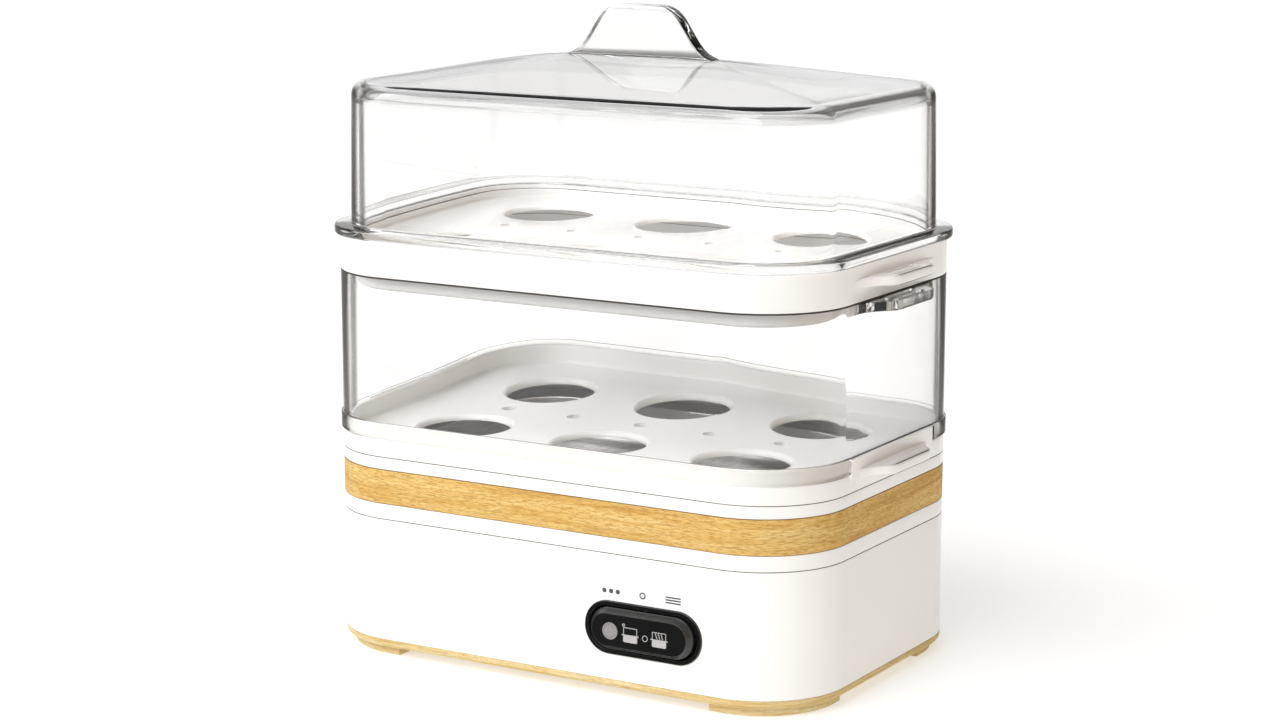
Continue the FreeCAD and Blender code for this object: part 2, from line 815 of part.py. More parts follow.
def make_earth_screw():
    body = new_body("earth_screw")
    place = [(S.strap_x, S.earth_y)]
    under = heater_bottom() - S.strap_thick - S.clip_thick
    bottom = under - S.screw_head_high
    posts(body, "head", place, S.strap_head_radius, bottom, under)
    posts(body, "shank", place, S.strap_screw_radius, bottom, heater_bottom() + S.strap_thick)
    cross_recess(body, "recess", place, bottom, S.recess_deep)


# ---------------------------------------------------------------- cord entry


def make_cord_gland():
    """A rubber bush that snaps into the rear wall, with an open hole for the cord."""
    body = new_body("cord_gland")
    rear = S.case_depth / 2
    outside = rear + S.gland_outside
    inside = rear - S.case_wall
    sketch = sketch_on(body, "outer_flange", "XZ_Plane", -outside)
    draw_circle(sketch, S.cord_x, S.cord_z, S.gland_flange)
    pad(body, sketch, S.gland_outside)
    sketch = sketch_on(body, "neck", "XZ_Plane", -rear)
    draw_circle(sketch, S.cord_x, S.cord_z, S.gland_neck)
    pad(body, sketch, S.case_wall)
    sketch = sketch_on(body, "inner_flange", "XZ_Plane", -inside)
    draw_circle(sketch, S.cord_x, S.cord_z, S.gland_inner_flange)
    pad(body, sketch, S.gland_outside)
    depth = S.gland_outside * 2 + S.case_wall
    sketch = sketch_on(body, "bore", "XZ_Plane", S.gland_outside - inside)
    draw_circle(sketch, S.cord_x, S.cord_z, S.cord_hole)
    pocket(body, sketch, depth)
    rim = outside.number

    def outer_rim(edge):
        box = edge.BoundBox
        wide = box.XLength > 2 * SIZES["gland_neck"]
        return wide and box.YLength < 0.01 and abs(box.YMin - rim) < 0.02

    dress(body, "Fillet", "rim", S.rim_round, outer_rim)


def clamp_places():
    reach = S.clamp_screw_reach
    return [(S.cord_x - reach, S.clamp_y), (S.cord_x + reach, S.clamp_y)]


def make_cord_clamp():
    body = new_body("cord_clamp")
    top = S.clamp_post_top + S.clamp_high
    half_x = S.clamp_screw_reach + S.clamp_half_wide
    sketch = sketch_on(body, "bar", "XY_Plane", S.clamp_post_top)
    draw_rounded(sketch, half_x, S.clamp_half_wide, S.clamp_half_wide / 2, S.cord_x, S.clamp_y)
    pad(body, sketch, S.clamp_high)
    sketch = sketch_on(body, "arch", "XZ_Plane", S.clamp_half_wide - S.clamp_y)
    draw_circle(sketch, S.cord_x, S.clamp_post_top, S.clamp_arch)
    pocket(body, sketch, S.clamp_half_wide * 2)
    holes(body, "screw_holes", clamp_places(), S.screw_clearance, top, S.clamp_high)


def make_clamp_screws():
    body = new_body("clamp_screws")
    under = S.clamp_post_top + S.clamp_high
    top = under + S.screw_head_high
    bottom = S.clamp_post_top - S.strap_screw_long
    posts(body, "heads", clamp_places(), S.strap_head_radius, under, top)
    posts(body, "shanks", clamp_places(), S.strap_screw_radius, bottom, top)
    cross_recess(body, "recess", clamp_places(), top, S.recess_deep, up=False)


def block_ports():
    return [S.block_x + S.block_pitch * step for step in (-1, 0, 1)]


def make_terminal_block():
    body = new_body("terminal_block")
    top = S.case_bottom + S.block_high
    sketch = sketch_on(body, "block", "XY_Plane", S.case_bottom)
    draw_rounded(sketch, S.block_half_x, S.block_half_y, S.wire_radius, S.block_x, S.block_y)
    pad(body, sketch, S.block_high)
    wells = [(x, S.block_y) for x in block_ports()]
    holes(body, "screw_wells", wells, S.block_screw_radius, top, S.block_well_deep)
    sketch = sketch_on(body, "ports", "XZ_Plane", S.block_half_y - S.block_y)
    for x in block_ports():
        draw_circle(sketch, x, S.block_port_z, S.block_port)
    pocket(body, sketch, S.block_half_y * 2)


def make_terminal_screws():
    body = new_body("terminal_screws")
    places = [(x, S.block_y) for x in block_ports()]
    top = S.case_bottom + S.block_high
    posts(body, "screws", places, S.block_screw_radius, top - S.block_well_deep, top)
    cross_recess(body, "recess", places, top, S.recess_deep, up=False)


# ---------------------------------------------------------------- wires inside the case


def wire_path(points):
    """Straight runs between the points, joined by tangent arcs as large as the runs allow."""
    edges = []
    here = points[0]
    for index in range(1, len(points) - 1):
        corner = points[index]
        back = points[index - 1] - corner
        ahead = points[index + 1] - corner
        turn = math.pi - back.getAngle(ahead)
        reach = ARC_SHARE * min(back.Length, ahead.Length)
        radius = reach / math.tan(turn / 2)
        back.normalize()
        ahead.normalize()
        inwards = (back + ahead).normalize()
        start = corner + back * reach
        end = corner + ahead * reach
        middle = corner + inwards * (radius / math.cos(turn / 2) - radius)
        edges.append(Part.LineSegment(here, start).toShape())
        edges.append(Part.Arc(start, middle, end).toShape())
        here = end
    edges.append(Part.LineSegment(here, points[-1]).toShape())
    return Part.Wire(edges)


def make_wire(name, route):
    """One insulated wire along its route; its ends meet the terminals face to face."""
    points = [FreeCAD.Vector(*[as_size(length).number for length in place]) for place in route]
    path = wire_path(points)
    radius = S.wire_radius.number
    circle = Part.Circle(points[0], points[1] - points[0], radius)
    profile = Part.Wire([circle.toShape()])
    wire = doc.addObject("Part::Feature", name)
    wire.Label = name
    wire.Shape = path.makePipeShell([profile], True, False)
    PARTS.append(wire)


def make_wires():
    port_y = S.block_y - S.block_half_y
    blade_y = S.tab_long + S.tube_deep + S.switch_body_deep - front_face()
    left, middle, right = block_ports()
    port_z = S.block_port_z
    level = S.switch_z
    common = S.switch_x
    cook = S.switch_x - S.tab_pitch
    blade_end = heater_bottom() + S.clip_thick - S.thermostat_base_high - S.tab_long
    lead_z = spreader_bottom() - S.fuse_radius
    pin_x = S.heater_leg_end + S.pin_long
    pin_y = S.heater_leg_y
    pin_z = heater_axis()
    lead_start = S.fuse_start_x - S.fuse_long / 4
    lead_end = lead_start + S.fuse_long * 1.5
    tag_y = S.earth_y - S.earth_half_long * 0.75
    tag_z = heater_bottom() - S.strap_thick - S.clip_thick
    blade_x = S.thermostat_blade_x
    live = [(left, port_y, port_z), (left, 12, port_z), (-24, -8, 11), (14, -14, 13)]
    live += [(common, -17, level), (common, blade_y, level)]
    make_wire("live_wire", live)
    neutral = [(middle, port_y, port_z), (middle, 15, 10), (-18, 9, 8), (20, 13, 8)]
    neutral += [(58, 17, 12), (pin_x + 9, pin_y, 26), (pin_x + 9, pin_y, pin_z)]
    neutral += [(pin_x, pin_y, pin_z)]
    make_wire("neutral_wire", neutral)
    earth = [(right, port_y, port_z), (right, 15, port_z + 1), (-2, 2, 14), (28, 6, 16)]
    earth += [(S.strap_x, tag_y, 24), (S.strap_x, tag_y, tag_z)]
    make_wire("earth_wire", earth)
    cooking = [(cook, blade_y, level), (cook, -18, level), (8, -8, 19)]
    cooking += [(-blade_x, ZERO, 21), (-blade_x, ZERO, blade_end)]
    make_wire("thermostat_wire", cooking)
    fused = [(blade_x, ZERO, blade_end), (blade_x, ZERO, 24), (blade_x, S.fuse_y, 27)]
    fused += [(blade_x, S.fuse_y, lead_z), (lead_start, S.fuse_y, lead_z)]
    make_wire("fuse_wire", fused)
    heater = [(lead_end, S.fuse_y, lead_z), (50, 11, pin_z), (64, -8, pin_z)]
    heater += [(pin_x + 9, -pin_y, pin_z), (pin_x, -pin_y, pin_z)]
    make_wire("heater_wire", heater)


# ---------------------------------------------------------------- rocker switch


def front_face():
    """The sketch offset of the case's front face: the XZ plane's normal is -Y."""
    return S.case_depth / 2


def hinge_offset():
    return front_face() - S.hinge_behind_face


def make_switch_bezel():
    body = new_body("switch_bezel")
    face = front_face()
    sketch = sketch_on(body, "flange", "XZ_Plane", face)
    draw_stadium(sketch, S.bezel_half_long, S.bezel_half_high, S.switch_x, S.switch_z)
    draw_stadium(sketch, S.mouth_half_long, S.mouth_half_high, S.switch_x, S.switch_z)
    pad(body, sketch, S.bezel_proud)
    sketch = sketch_on(body, "tube", "XZ_Plane", face - S.tube_deep)
    draw_stadium(sketch, S.tube_half_long, S.tube_half_high, S.switch_x, S.switch_z)
    draw_stadium(sketch, S.mouth_half_long, S.mouth_half_high, S.switch_x, S.switch_z)
    pad(body, sketch, S.tube_deep)
    sketch = sketch_on(body, "pin_holes", "XY_Plane", S.switch_z + S.tube_half_high)
    draw_circle(sketch, S.switch_x, -hinge_offset(), S.hinge_pin_radius)
    pocket(body, sketch, S.tube_half_high * 2)
    front = (face + S.bezel_proud).number
    reach = SIZES["bezel_half_high"] - 0.1

    def outer_rim(edge):
        middle = edge_middle(edge)
        at_front = edge.BoundBox.YLength < 0.01 and abs(middle.y + front) < 0.02
        beyond_x = abs(middle.x - SIZES["switch_x"]) > SIZES["mouth_half_long"] + 0.5
        return at_front and (beyond_x or abs(middle.z - SIZES["switch_z"]) > reach)

    dress(body, "Fillet", "rim", S.rim_round, outer_rim)


def make_switch_body():
    """The moulded box behind the bezel, open towards the rocker."""
    body = new_body("switch_body")
    back = front_face() - S.tube_deep - S.switch_body_deep
    sketch = sketch_on(body, "box", "XZ_Plane", back)
    half_x = S.switch_body_half_x
    half_z = S.switch_body_half_z
    draw_rounded(sketch, half_x, half_z, S.rocker_bevel, S.switch_x, S.switch_z)
    pad(body, sketch, S.switch_body_deep)
    sketch = sketch_on(body, "cavity", "XZ_Plane", front_face() - S.tube_deep)
    half_x = S.switch_cavity_half_x
    half_z = S.switch_cavity_half_z
    draw_rounded(sketch, half_x, half_z, S.rocker_bevel, S.switch_x, S.switch_z)
    pocket(body, sketch, S.switch_cavity_deep)
    sketch = sketch_on(body, "tab_slots", "XZ_Plane", back + S.tab_long)
    draw_tabs(sketch)
    pocket(body, sketch, S.tab_long)


def draw_tabs(sketch):
    for step in (-1, 0, 1):
        x = S.switch_x + S.tab_pitch * step
        half = S.tab_half_thick
        low = S.switch_z - S.tab_half_wide
        draw_box(sketch, x - half, low, x + half, S.switch_z + S.tab_half_wide)


def make_switch_terminals():
    """Three flat blades through the back of the switch body."""
    body = new_body("switch_terminals")
    back = front_face() - S.tube_deep - S.switch_body_deep
    top = front_face() - S.tube_deep - S.switch_cavity_deep
    sketch = sketch_on(body, "blades", "XZ_Plane", back - S.tab_long)
    draw_tabs(sketch)
    pad(body, sketch, top - back + S.tab_long)


def make_switch_lamp():
    """The small lamp that lights the lens, held in the floor of the switch body."""
    body = new_body("switch_lamp")
    floor = front_face() - S.tube_deep - S.switch_cavity_deep
    sketch = sketch_on(body, "bulb", "XZ_Plane", floor)
    draw_circle(sketch, S.lens_x + 3, S.switch_z, S.lamp_radius)
    pad(body, sketch, S.tab_long)


def make_rocker_pin():
    body = new_body("rocker_pin")
    sketch = sketch_on(body, "pin", "XY_Plane", S.switch_z - S.tube_half_high)
    draw_circle(sketch, S.switch_x, -hinge_offset(), S.hinge_pin_radius)
    pad(body, sketch, S.tube_half_high * 2)


def rocker_face():
    return front_face() + S.rocker_proud


def make_rocker():
    """A hollow cap with a bevelled face, a cross web on the pin and a plunger socket."""
    body = new_body("rocker")
    back = rocker_face() - S.rocker_deep
    sketch = sketch_on(body, "cap", "XZ_Plane", back)
    draw_stadium(sketch, S.rocker_half_long, S.rocker_half_high, S.switch_x, S.switch_z)
    pad(body, sketch, S.rocker_deep)
    face = rocker_face().number

    def around_face(edge):
        return edge.BoundBox.YLength < 0.01 and abs(edge.BoundBox.YMin + face) < 0.02

    dress(body, "Chamfer", "bevel", S.rocker_bevel, around_face)
    sketch = sketch_on(body, "lens_seat", "XZ_Plane", rocker_face())
    draw_circle(sketch, S.lens_x, S.lens_z, S.lens_radius)
    pocket(body, sketch, S.lens_deep)
    web = S.hinge_web
    low = S.switch_z - S.rocker_half_high + S.rocker_skin
    high = S.switch_z + S.rocker_half_high - S.rocker_skin
    sketch = sketch_on(body, "hollow", "YZ_Plane", S.switch_x + S.rocker_half_long * 0.75)
    front = -rocker_face() + S.rocker_skin + S.lens_deep
    draw_box(sketch, front, low, -back, high)
    pocket(body, sketch, S.rocker_half_long * 0.75 - web)
    sketch = sketch_on(body, "hollow_left", "YZ_Plane", S.switch_x - web)
    draw_box(sketch, front, low, -back, high)
    pocket(body, sketch, S.rocker_half_long * 0.75 - web)
    sketch = sketch_on(body, "pin_bore", "XY_Plane", S.switch_z + S.rocker_half_high)
    bore = S.hinge_pin_radius + S.hinge_gap
    draw_circle(sketch, S.switch_x, -hinge_offset(), bore)
    pocket(body, sketch, S.rocker_half_high * 2)


def make_rocker_lens():
    body = new_body("rocker_lens")
    sketch = sketch_on(body, "disc", "XZ_Plane", rocker_face() - S.lens_deep)
    draw_circle(sketch, S.lens_x, S.lens_z, S.lens_radius)
    pad(body, sketch, S.lens_deep + S.lens_proud)


def make_rocker_plunger():
    """The sprung plunger behind the rocker's web, shown as one closed piece."""
    body = new_body("rocker_plunger")
    back = rocker_face() - S.rocker_deep
    sketch = sketch_on(body, "stem", "XZ_Plane", back - S.plunger_long)
    draw_circle(sketch, S.switch_x, S.switch_z, S.plunger_radius)
    pad(body, sketch, S.plunger_long)
    tip = (back - S.plunger_long).number

    def around_tip(edge):
        return edge.BoundBox.YLength < 0.01 and abs(edge.BoundBox.YMin + tip) < 0.02

    dress(body, "Fillet", "tip", S.plunger_radius * 0.8, around_tip)


# ---------------------------------------------------------------- trays, sleeve and lid


def egg_places():
    places = []
    for column in (-1, 0, 1):
        for row_side in (-1, 1):
            places.append((S.egg_pitch_x * column, S.egg_row_y * row_side))
    return places


def steam_places():
    half = S.egg_pitch_x / 2
    places = [(-half, ZERO), (half, ZERO)]
    for column in (-1, 0, 1):
        places.append((S.egg_pitch_x * column, ZERO))
    return places


def egg_floor(body, top):
    """Six round seats with bevelled mouths, and small steam holes between them."""
    depth = S.floor_thick
    holes(body, "egg_holes", egg_places(), S.egg_hole, top, depth)
    radius = S.egg_hole.number

    def mouths(edge):
        box = edge.BoundBox
        flat = box.ZLength < 0.01 and abs(box.ZMin - top.number) < 0.02
        return flat and abs(box.XLength - 2 * radius) < 0.05

    dress(body, "Chamfer", "egg_seats", S.egg_bevel, mouths)
    holes(body, "steam_holes", steam_places(), S.steam_hole, top, depth)


def grips(body, name, top):
    """A tab on each end to lift the piece by."""
    sketch = sketch_on(body, name, "XY_Plane", top - S.grip_thick)
    root = S.case_width / 2 - 1
    for side in (1, -1):
        points = [(root * side, -S.grip_root), (S.grip_reach * side, -S.grip_outer)]
        points += [(S.grip_reach * side, S.grip_outer), (root * side, S.grip_root)]
        draw_polygon(sketch, points)
    pad(body, sketch, S.grip_thick)
    corners = upright_at(S.grip_reach, S.grip_outer)
    dress(body, "Fillet", f"{name}_corners", S.grip_corner, corners)


def grip_slots(body, name, top, depth):
    sketch = sketch_on(body, name, "XY_Plane", top)
    half = S.grip_slot_half
    for side in (1, -1):
        for place in (S.grip_slot_first, S.grip_slot_second):
            x = place * side
            draw_stadium(sketch, half, S.grip_slot_half_wide, x, ZERO, upright=True)
    pocket(body, sketch, depth)


def make_lower_tray():
    body = new_body("lower_tray")
    floor_top = S.rim_top - S.basin_deep
    ring(body, "wall", S.deck_top, S.ledge_top, ZERO, S.upstand_inner)
    ring(body, "upstand", S.ledge_top, S.rim_top, S.upstand_inset, S.upstand_inner)
    slab(body, "floor", floor_top - S.floor_thick, floor_top, S.upstand_inset)
    sketch = sketch_on(body, "side_sections", "XY_Plane", S.ledge_top)
    for side in (1, -1):
        outer = (S.case_width / 2 + S.side_proud) * side
        inner = (S.case_width / 2 - S.upstand_inset - 0.5) * side
        draw_box(sketch, inner, -S.side_half, outer, S.side_half)
    pad(body, sketch, S.rim_top - S.ledge_top)
    bottom = S.deck_top - S.tray_rib_drop
    ring(body, "rib", bottom, floor_top, S.tray_rib_outer, S.tray_rib_inner)
    grips(body, "grip", S.grip_top_lower)
    egg_floor(body, floor_top)
    dress(body, "Fillet", "rim", S.rim_round, on_outline(S.rim_top, S.upstand_inner))


def make_upper_tray():
    body = new_body("upper_tray")
    floor_top = S.upper_rim_top - S.basin_deep
    floor_bottom = floor_top - S.floor_thick
    ring(body, "skirt", S.sleeve_top, S.upper_rim_top, ZERO, S.skirt_wall)
    slab(body, "floor", floor_bottom, floor_top, ZERO)
    rib_bottom = S.upper_rib_bottom
    ring(body, "rib", rib_bottom, floor_top, S.upper_rib_outer, S.upper_rib_inner)
    dress(body, "Fillet", "rib_edge", S.upper_rib_round, on_outline(rib_bottom, S.upper_rib_outer))
    grips(body, "grip", S.grip_top_upper)
    grip_slots(body, "grip_grooves", S.grip_top_upper, S.grip_groove_deep)
    egg_floor(body, floor_top)
    dress(body, "Fillet", "rim", S.rim_round, on_outline(S.upper_rim_top, S.skirt_wall))
    dress(body, "Fillet", "skirt_edge", S.rim_round / 2, on_outline(S.sleeve_top, ZERO))


def make_clear_sleeve():
    """The clear wall of the lower tier; its skirt laps over the lower tray's upstand."""
    body = new_body("clear_sleeve")
    ring(body, "skirt", S.skirt_bottom, S.skirt_top, -S.skirt_outside, S.skirt_inner)
    step = S.rim_top + 0.1
    ring(body, "wall", step, S.sleeve_top, ZERO, S.sleeve_wall)
    sketch = sketch_on(body, "notches", "XY_Plane", S.notch_top)
    for side in (1, -1):
        outer = (S.case_width / 2 + 3) * side
        inner = (S.case_width / 2 - 6) * side
        draw_box(sketch, inner, -S.notch_half, outer, S.notch_half)
    pocket(body, sketch, S.notch_top - S.skirt_bottom)
    grips(body, "grip", S.sleeve_top)
    grip_slots(body, "grip_slots", S.sleeve_top, S.grip_thick)
    outside = -S.skirt_outside
    dress(body, "Chamfer", "skirt_edge", S.skirt_round, on_outline(S.skirt_bottom, outside))


def roof_section(body, name, level, share, wall):
    """One outline of the crowned roof: share 0 is the eaves and share 1 is the ridge."""
    inset = S.lid_top_inset + S.shoulder_wide
    eaves_x = S.case_width / 2 - inset
    eaves_y = S.case_depth / 2 - inset
    eaves_round = S.case_corner - inset
    half_x = eaves_x + (S.ridge_half_x - eaves_x) * share - wall
    half_y = eaves_y + (S.ridge_half_y - eaves_y) * share - wall
    radius = eaves_round + (S.ridge_half_y - eaves_round) * share - wall
    sketch = sketch_on(body, name, "XY_Plane", level - wall)
    draw_rounded(sketch, half_x, half_y, radius * 0.98)
    return sketch


def roof_sections(body, name, wall):
    """The round shoulder and the crown of the roof, moved inwards and down by wall."""
    sections = []
    for step in range(SHOULDER_STEPS):
        angle = math.pi / 2 * step / SHOULDER_STEPS
        inset = S.lid_top_inset + S.shoulder_wide * (1 - math.cos(angle)) + wall
        level = S.lid_wall_top + (S.lid_eaves - S.lid_wall_top) * math.sin(angle) - wall
        sketch = sketch_on(body, f"{name}_shoulder{step}", "XY_Plane", level)
        draw_outline(sketch, inset)
        sections.append(sketch)
    for number, share in enumerate(ROOF_SHARES):
        rise = (S.lid_ridge - S.lid_eaves) * (1 - (1 - share) ** CROWN_POWER)
        level = S.lid_eaves + rise
        sections.append(roof_section(body, f"{name}_roof{number}", level, share, wall))
    return sections


def loft(body, kind, name, sections, ruled):
    feature = body.newObject(f"PartDesign::{kind}", f"{body.Name}_{name}")
    feature.Profile = sections[0]
    feature.Sections = sections[1:]
    feature.Ruled = ruled
    doc.recompute()
    return feature


def wall_sections(body, name, bottom, wall):
    low = sketch_on(body, f"{name}_low", "XY_Plane", bottom)
    draw_outline(low, S.lid_inset + wall)
    high = sketch_on(body, f"{name}_high", "XY_Plane", S.lid_wall_top - wall)
    draw_outline(high, S.lid_top_inset + wall)
    return [low, high]


def make_lid():
    """The clear cover: drafted walls, a crowned roof, a flat flange and a fin to lift it by."""
    body = new_body("lid")
    bottom = S.upper_rim_top - S.lid_bead_drop
    loft(body, "AdditiveLoft", "wall", wall_sections(body, "wall", bottom, ZERO), True)
    loft(body, "AdditiveLoft", "crown", roof_sections(body, "outer", ZERO), False)
    slab(body, "flange", S.upper_rim_top, S.lid_flange_top, -S.flange_outside)
    outside = -S.flange_outside
    dress(body, "Fillet", "flange_top", S.rim_round, on_outline(S.lid_flange_top, outside))
    dress(body, "Fillet", "flange_under", S.rim_round, on_outline(S.upper_rim_top, outside))
    sections = wall_sections(body, "inside", bottom - 0.1, S.lid_wall)
    loft(body, "SubtractiveLoft", "inside", sections, True)
    loft(body, "SubtractiveLoft", "roof_inside", roof_sections(body, "inner", S.lid_wall), False)
    sketch = sketch_on(body, "fin", "XZ_Plane", ZERO)
    foot = S.lid_ridge - S.lid_wall * 0.75
    top = S.lid_handle_top
    points = [(-S.fin_foot, foot), (S.fin_foot, foot), (S.fin_top, top), (-S.fin_top, top)]
    draw_polygon(sketch, points)
    pad(body, sketch, S.fin_half_thick * 2, midplane=True)

    def fin_corners(edge):
        box = edge.BoundBox
        level = abs(box.ZMin - SIZES["lid_handle_top"]) < 0.02 and box.ZLength < 0.01
        return level and box.XLength < 0.01

    dress(body, "Fillet", "fin_corners", S.fin_corner, fin_corners)


BUILDERS = [
    make_feet,
    make_base_plate,
    make_lower_housing,
    make_upper_housing,
    make_wood_band,
    make_top_deck,
    make_case_screws,
    make_heating_pan,
    make_pan_seal,
    make_heat_spreader,
    make_heating_element,
    make_element_terminals,
    make_retainer_straps,
    make_retainer_screws,
    make_thermostat,
    make_thermostat_clip,
    make_thermal_fuse,
    make_earth_tag,
    make_earth_screw,
    make_cord_gland,
    make_cord_clamp,
    make_clamp_screws,
    make_terminal_block,
    make_terminal_screws,
    make_wires,
    make_switch_bezel,
    make_switch_body,
    make_switch_terminals,
    make_switch_lamp,
    make_rocker_pin,
    make_rocker,
    make_rocker_lens,
    make_rocker_plunger,
    make_lower_tray,
    make_clear_sleeve,
    make_upper_tray,
    make_lid,
]


def check_document():
    """Stop if any object failed or any piece has no valid shape."""
    for item in doc.Objects:
        if "Invalid" in item.State or "Error" in item.State:
            raise RuntimeError(f"{item.Name} failed: {item.State}")
    for piece in PARTS:
        if piece.Shape.isNull() or not piece.Shape.isValid():
            raise RuntimeError(f"{piece.Label} has no valid shape")


def main():
    for build in BUILDERS:
        build()
    doc.recompute()
    check_document()
    os.makedirs("parts", exist_ok=True)
    for piece in PARTS:
        piece.Shape.exportStep(f"parts/{piece.Label}.step")
        solids = len(piece.Shape.Solids)
        print(f"{piece.Label}: {solids} solid(s), {piece.Shape.Volume / 1000:.2f} cm3")


main()
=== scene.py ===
import math

import bmesh
import bpy
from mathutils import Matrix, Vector


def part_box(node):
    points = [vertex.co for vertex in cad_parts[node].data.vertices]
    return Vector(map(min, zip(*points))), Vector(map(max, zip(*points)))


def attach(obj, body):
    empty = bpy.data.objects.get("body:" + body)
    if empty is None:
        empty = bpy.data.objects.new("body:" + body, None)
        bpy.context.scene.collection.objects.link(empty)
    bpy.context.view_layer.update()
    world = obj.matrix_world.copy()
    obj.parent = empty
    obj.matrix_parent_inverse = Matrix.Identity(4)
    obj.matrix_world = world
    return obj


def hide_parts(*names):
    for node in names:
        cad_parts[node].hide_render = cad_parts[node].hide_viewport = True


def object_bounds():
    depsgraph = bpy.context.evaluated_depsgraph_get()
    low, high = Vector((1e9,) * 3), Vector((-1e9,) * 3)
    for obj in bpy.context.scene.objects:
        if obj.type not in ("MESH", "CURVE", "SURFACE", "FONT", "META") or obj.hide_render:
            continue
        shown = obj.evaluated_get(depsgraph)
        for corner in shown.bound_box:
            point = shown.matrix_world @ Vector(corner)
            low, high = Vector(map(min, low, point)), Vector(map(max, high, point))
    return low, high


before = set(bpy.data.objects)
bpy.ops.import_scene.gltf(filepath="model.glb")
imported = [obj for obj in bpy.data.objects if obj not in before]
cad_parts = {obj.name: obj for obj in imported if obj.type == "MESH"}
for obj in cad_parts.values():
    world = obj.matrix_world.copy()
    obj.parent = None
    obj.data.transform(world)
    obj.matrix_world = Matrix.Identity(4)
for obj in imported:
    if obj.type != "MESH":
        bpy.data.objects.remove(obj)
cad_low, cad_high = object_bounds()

MM = 0.001
UP = Vector((0, 0, 1))
DOWN = Vector((0, 0, -1))
FRONT = Vector((0, -1, 0))
BACK = Vector((0, 1, 0))
RIGHT = Vector((1, 0, 0))

# the case's outline, which every tray, wall and lid follows
CORNER = 28.5 * MM
CORNER_STEPS = 20
housing_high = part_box("lower_housing")[1]
HALF_X = housing_high.x
HALF_Y = housing_high.y
SEAM_ROUND = 0.3 * MM


# ---------------------------------------------------------------- working by hand


def put_down():
    """Back to object mode with nothing selected."""
    if bpy.context.mode != "OBJECT":
        bpy.ops.object.mode_set(mode="OBJECT")
    bpy.ops.object.select_all(action="DESELECT")


def take(piece):
    """Only this piece is selected, in edit mode."""
    put_down()
    piece.select_set(True)
    bpy.context.view_layer.objects.active = piece
    bpy.ops.object.mode_set(mode="EDIT")
    bpy.context.tool_settings.mesh_select_mode = (False, False, True)


def settle(name):
    """Names the new piece and puts its place into its mesh."""
    piece = bpy.context.object
    piece.name = name
    piece.data.name = name
    bpy.ops.object.transform_apply(location=True, rotation=True, scale=True)
    return piece


def pick_faces(piece, wanted):
    bpy.context.tool_settings.mesh_select_mode = (False, False, True)
    bpy.ops.mesh.select_all(action="DESELECT")
    mesh = bmesh.from_edit_mesh(piece.data)
    for face in mesh.faces:
        face.select_set(bool(wanted(face)))
    bmesh.update_edit_mesh(piece.data)


def pick_edges(piece, wanted):
    bpy.context.tool_settings.mesh_select_mode = (False, True, False)
    bpy.ops.mesh.select_all(action="DESELECT")
    mesh = bmesh.from_edit_mesh(piece.data)
    for edge in mesh.edges:
        edge.select_set(bool(wanted(edge)))
    bmesh.update_edit_mesh(piece.data)


def end_face(piece, facing):
    """Selects the flat end that reaches furthest towards a direction."""
    mesh = bmesh.from_edit_mesh(piece.data)
    reach = max(vertex.co.dot(facing) for vertex in mesh.verts)
    pick_faces(
        piece,
        lambda face: face.normal.dot(facing) > 0.99
        and abs(face.calc_center_median().dot(facing) - reach) < 1e-6,
    )


def draw_out(move):
    """Extrudes what is selected."""
    bpy.ops.mesh.extrude_region_move(TRANSFORM_OT_translate={"value": move})


def work_end(piece, facing, steps):
    """Works a flat end inwards. Each step says how far in and how far out, in millimetres."""
    end_face(piece, facing)
    for inward, outward in steps:
        if abs(inward) < 1e-9:
            draw_out(facing * outward * MM)
        else:
            bpy.ops.mesh.inset(thickness=inward * MM, depth=outward * MM, use_even_offset=True)


def shoulder(wide, high, count=4):
    """A quarter round that starts along the wall and ends flat."""
    steps = []
    for step in range(count):
        start = math.pi / 2 * step / count
        end = math.pi / 2 * (step + 1) / count
        inward = wide * (math.cos(start) - math.cos(end))
        steps.append((inward, high * (math.sin(end) - math.sin(start))))
    return steps


def lip(wide, deep, count=4):
    """A quarter round that starts flat and ends going down a wall."""
    steps = []
    for step in range(count):
        start = math.pi / 2 * step / count
        end = math.pi / 2 * (step + 1) / count
        inward = wide * (math.sin(end) - math.sin(start))
        steps.append((inward, -deep * (math.cos(start) - math.cos(end))))
    return steps


def rounded_block(name, low, high, corner, upright=2, steps=CORNER_STEPS):
    """A block between two corners, with the edges along one axis rounded. Left in edit mode."""
    put_down()
    middle = (low + high) / 2
    half = (high - low) / 2
    bpy.ops.mesh.primitive_cube_add(size=2, location=middle, scale=half)
    piece = settle(name)
    take(piece)

    def runs_along(edge):
        run = edge.verts[0].co - edge.verts[1].co
        return abs(run[upright]) > 0.9 * run.length

    pick_edges(piece, runs_along)
    bpy.ops.mesh.bevel(offset=corner, segments=steps, profile=0.5, affect="EDGES")
    return piece


def case_block(name, inset, bottom, top):
    """A block with the case's outline, moved inwards, between two heights in millimetres."""
    inset = inset * MM
    low = Vector((inset - HALF_X, inset - HALF_Y, bottom * MM))
    high = Vector((HALF_X - inset, HALF_Y - inset, top * MM))
    return rounded_block(name, low, high, CORNER - inset)


def round_bar(name, place, facing, radius, length, sides=64):
    """A round bar whose back end is at a place. Left in edit mode."""
    put_down()
    middle = place + facing * length / 2
    turn = facing.to_track_quat("Z", "Y").to_euler()
    bpy.ops.mesh.primitive_cylinder_add(
        vertices=sides, radius=radius, depth=length, location=middle, rotation=turn
    )
    piece = settle(name)
    take(piece)
    return piece


